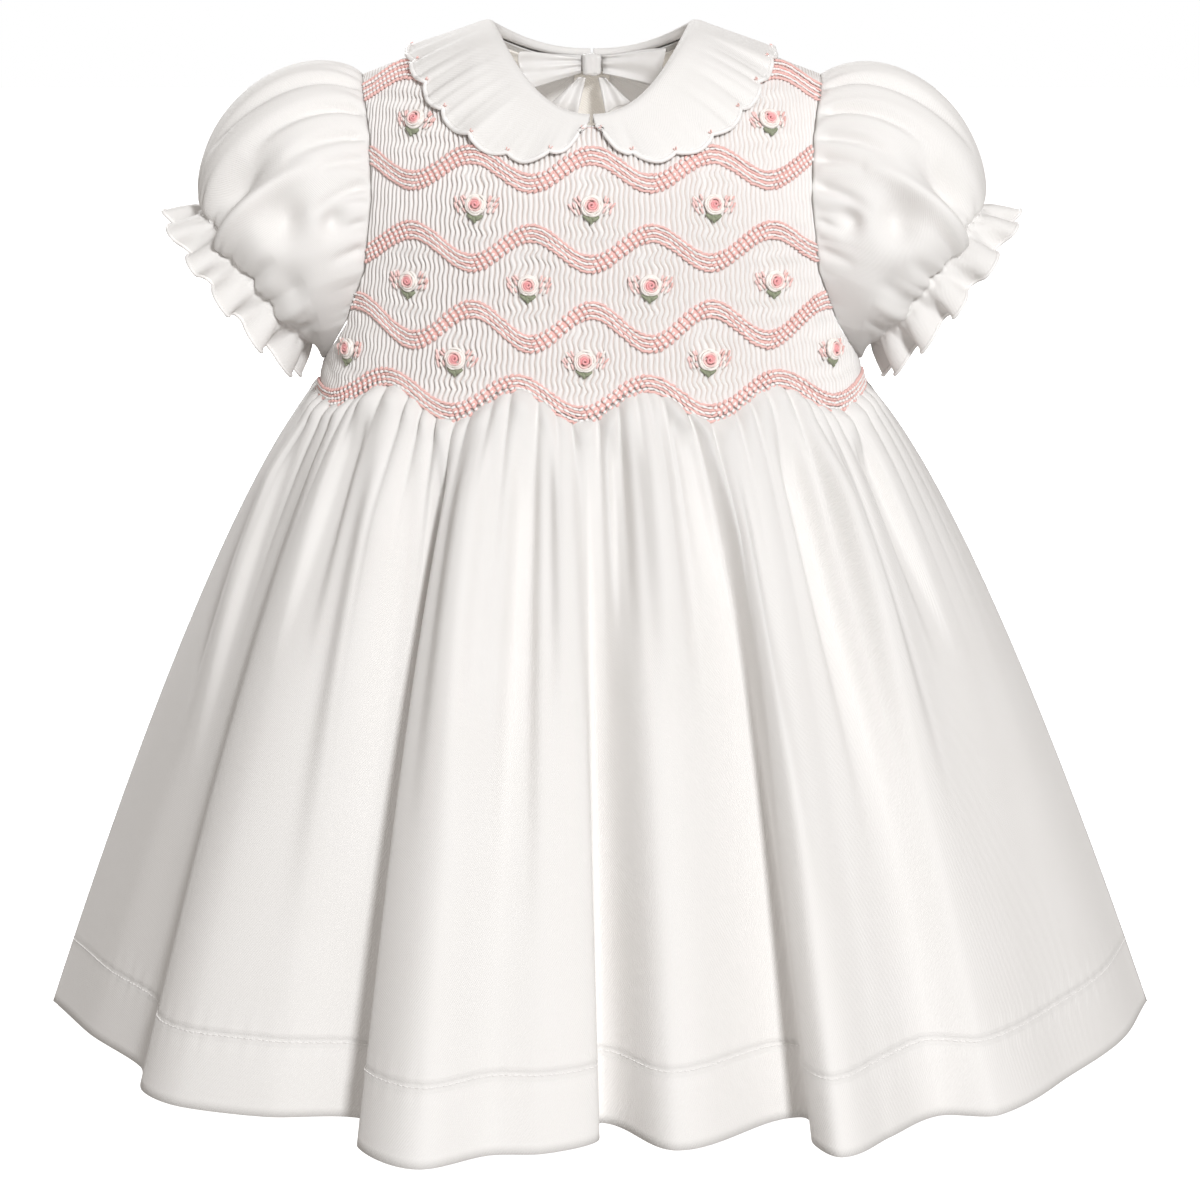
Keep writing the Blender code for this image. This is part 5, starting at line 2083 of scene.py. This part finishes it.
@dataclass(frozen=True)
class Studio:
    """The pale floor, the soft light and the camera at the photograph's angle."""

    camera_place: tuple = (0.0032, -1.26918, 0.06013)
    aim: tuple = (0.0032, 0.0, -0.22124)
    lens: float = 97.5
    floor_z: float = -0.392
    fill: float = 0.41
    fill_tint: tuple = (1.0, 0.95, 0.905, 1.0)
    white: tuple = (1.0, 1.0, 1.0, 1.0)
    floor_shade: tuple = (0.98, 0.98, 0.98, 1.0)
    floor_size: float = 6.0
    lamps: tuple = (
        Lamp("key_light", (0.85, -2.9, 1.3), 0.5, 84.0, (0.975, 0.985, 1.0)),
        Lamp("neck_light", (0.0, -0.01, -0.12), 0.05, 0.03, (1.0, 0.98, 0.95), (0.0, 0.04, -0.03)),
        Lamp("back_light", (-1.05, 2.85, 1.3), 0.5, 72.0, (0.975, 0.985, 1.0)),
    )

    def build(self) -> None:
        """Builds the studio."""
        scene = bpy.context.scene
        scene.view_settings.view_transform = "Standard"
        scene.view_settings.look = "None"
        camera = bpy.data.objects.new("camera", bpy.data.cameras.new("camera"))
        camera.data.lens = self.lens
        camera.data.sensor_width = 36.0
        camera.location = self.camera_place
        gaze = Vector(self.aim) - Vector(self.camera_place)
        camera.rotation_euler = gaze.to_track_quat("-Z", "Y").to_euler()
        scene.collection.objects.link(camera)
        scene.camera = camera
        for lamp in self.lamps:
            light = bpy.data.lights.new(lamp.name, "AREA")
            light.shape, light.size = "DISK", lamp.size
            light.energy, light.color = lamp.power, lamp.colour
            thing = bpy.data.objects.new(lamp.name, light)
            thing.location = lamp.place
            thing.visible_camera = False
            aim = Vector(lamp.aim) - thing.location
            thing.rotation_euler = aim.to_track_quat("-Z", "Y").to_euler()
            scene.collection.objects.link(thing)
        self.backdrop()
        self.floor()

    def backdrop(self) -> None:
        """Sets a white surround that lights the dress softly."""
        world = bpy.data.worlds.new("studio")
        bpy.context.scene.world = world
        world.use_nodes = True
        nodes, links = world.node_tree.nodes, world.node_tree.links
        nodes.clear()
        seen = nodes.new("ShaderNodeBackground")
        seen.inputs["Strength"].default_value = 1.0
        seen.inputs["Color"].default_value = self.white
        soft = nodes.new("ShaderNodeBackground")
        soft.inputs["Strength"].default_value = self.fill
        soft.inputs["Color"].default_value = self.fill_tint
        path = nodes.new("ShaderNodeLightPath")
        mix = nodes.new("ShaderNodeMixShader")
        output = nodes.new("ShaderNodeOutputWorld")
        links.new(path.outputs["Is Camera Ray"], mix.inputs[0])
        links.new(soft.outputs[0], mix.inputs[1])
        links.new(seen.outputs[0], mix.inputs[2])
        links.new(mix.outputs[0], output.inputs[0])

    def floor(self) -> None:
        """Lays the pale floor, which throws no light of its own on the dress."""
        builder = start_mesh()
        bmesh.ops.create_grid(builder, x_segments=1, y_segments=1, size=self.floor_size)
        bmesh.ops.translate(builder, vec=(0.0, 0.0, self.floor_z), verts=builder.verts)
        mesh = bpy.data.meshes.new("floor")
        builder.to_mesh(mesh)
        builder.free()
        material = bpy.data.materials.new("pale_floor")
        material.use_nodes = True
        surface = material.node_tree.nodes["Principled BSDF"]
        surface.inputs["Base Color"].default_value = self.floor_shade
        surface.inputs["Emission Color"].default_value = self.white
        surface.inputs["Emission Strength"].default_value = 1.0
        mesh.materials.append(material)
        thing = bpy.data.objects.new("floor", mesh)
        thing.visible_diffuse = thing.visible_glossy = thing.visible_shadow = False
        bpy.context.scene.collection.objects.link(thing)


# ---------------------------------------------------------------- the whole dress


def main() -> None:
    """Builds the dress piece by piece, then the studio."""
    logging.basicConfig(level=logging.INFO, format="%(name)s %(message)s")
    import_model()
    form = Bodice()
    finishes = Finishes()
    Studio().build()
    Skirt(form, "skirt_front_cloth", "skirt_front", Facing.FRONT, FRONT_HEM, FRONT_FOLDS,
          gathers=38, columns=420, rows=100, cut=(940.0, 265.0),
          flat=(650.0, 265.0)).build(finishes)
    Skirt(form, "skirt_back_cloth", "skirt_back", Facing.BACK, BACK_HEM, BACK_FOLDS,
          gathers=30, columns=300, rows=80, cut=(860.0, 265.0),
          flat=(560.0, 265.0)).build(finishes)
    SmockedYoke(form).build(finishes)
    BackYoke(form).build(finishes)
    for side, hand in ((-1, "right"), (1, "left")):
        Sleeve(form, side, hand).build(finishes)
        Collar(form, side, hand).build(finishes)
    for number, place in enumerate(ROSES):
        Rose(place, form, number).build(finishes)
    Bow().build(finishes)


if __name__ == "__main__":
    main()
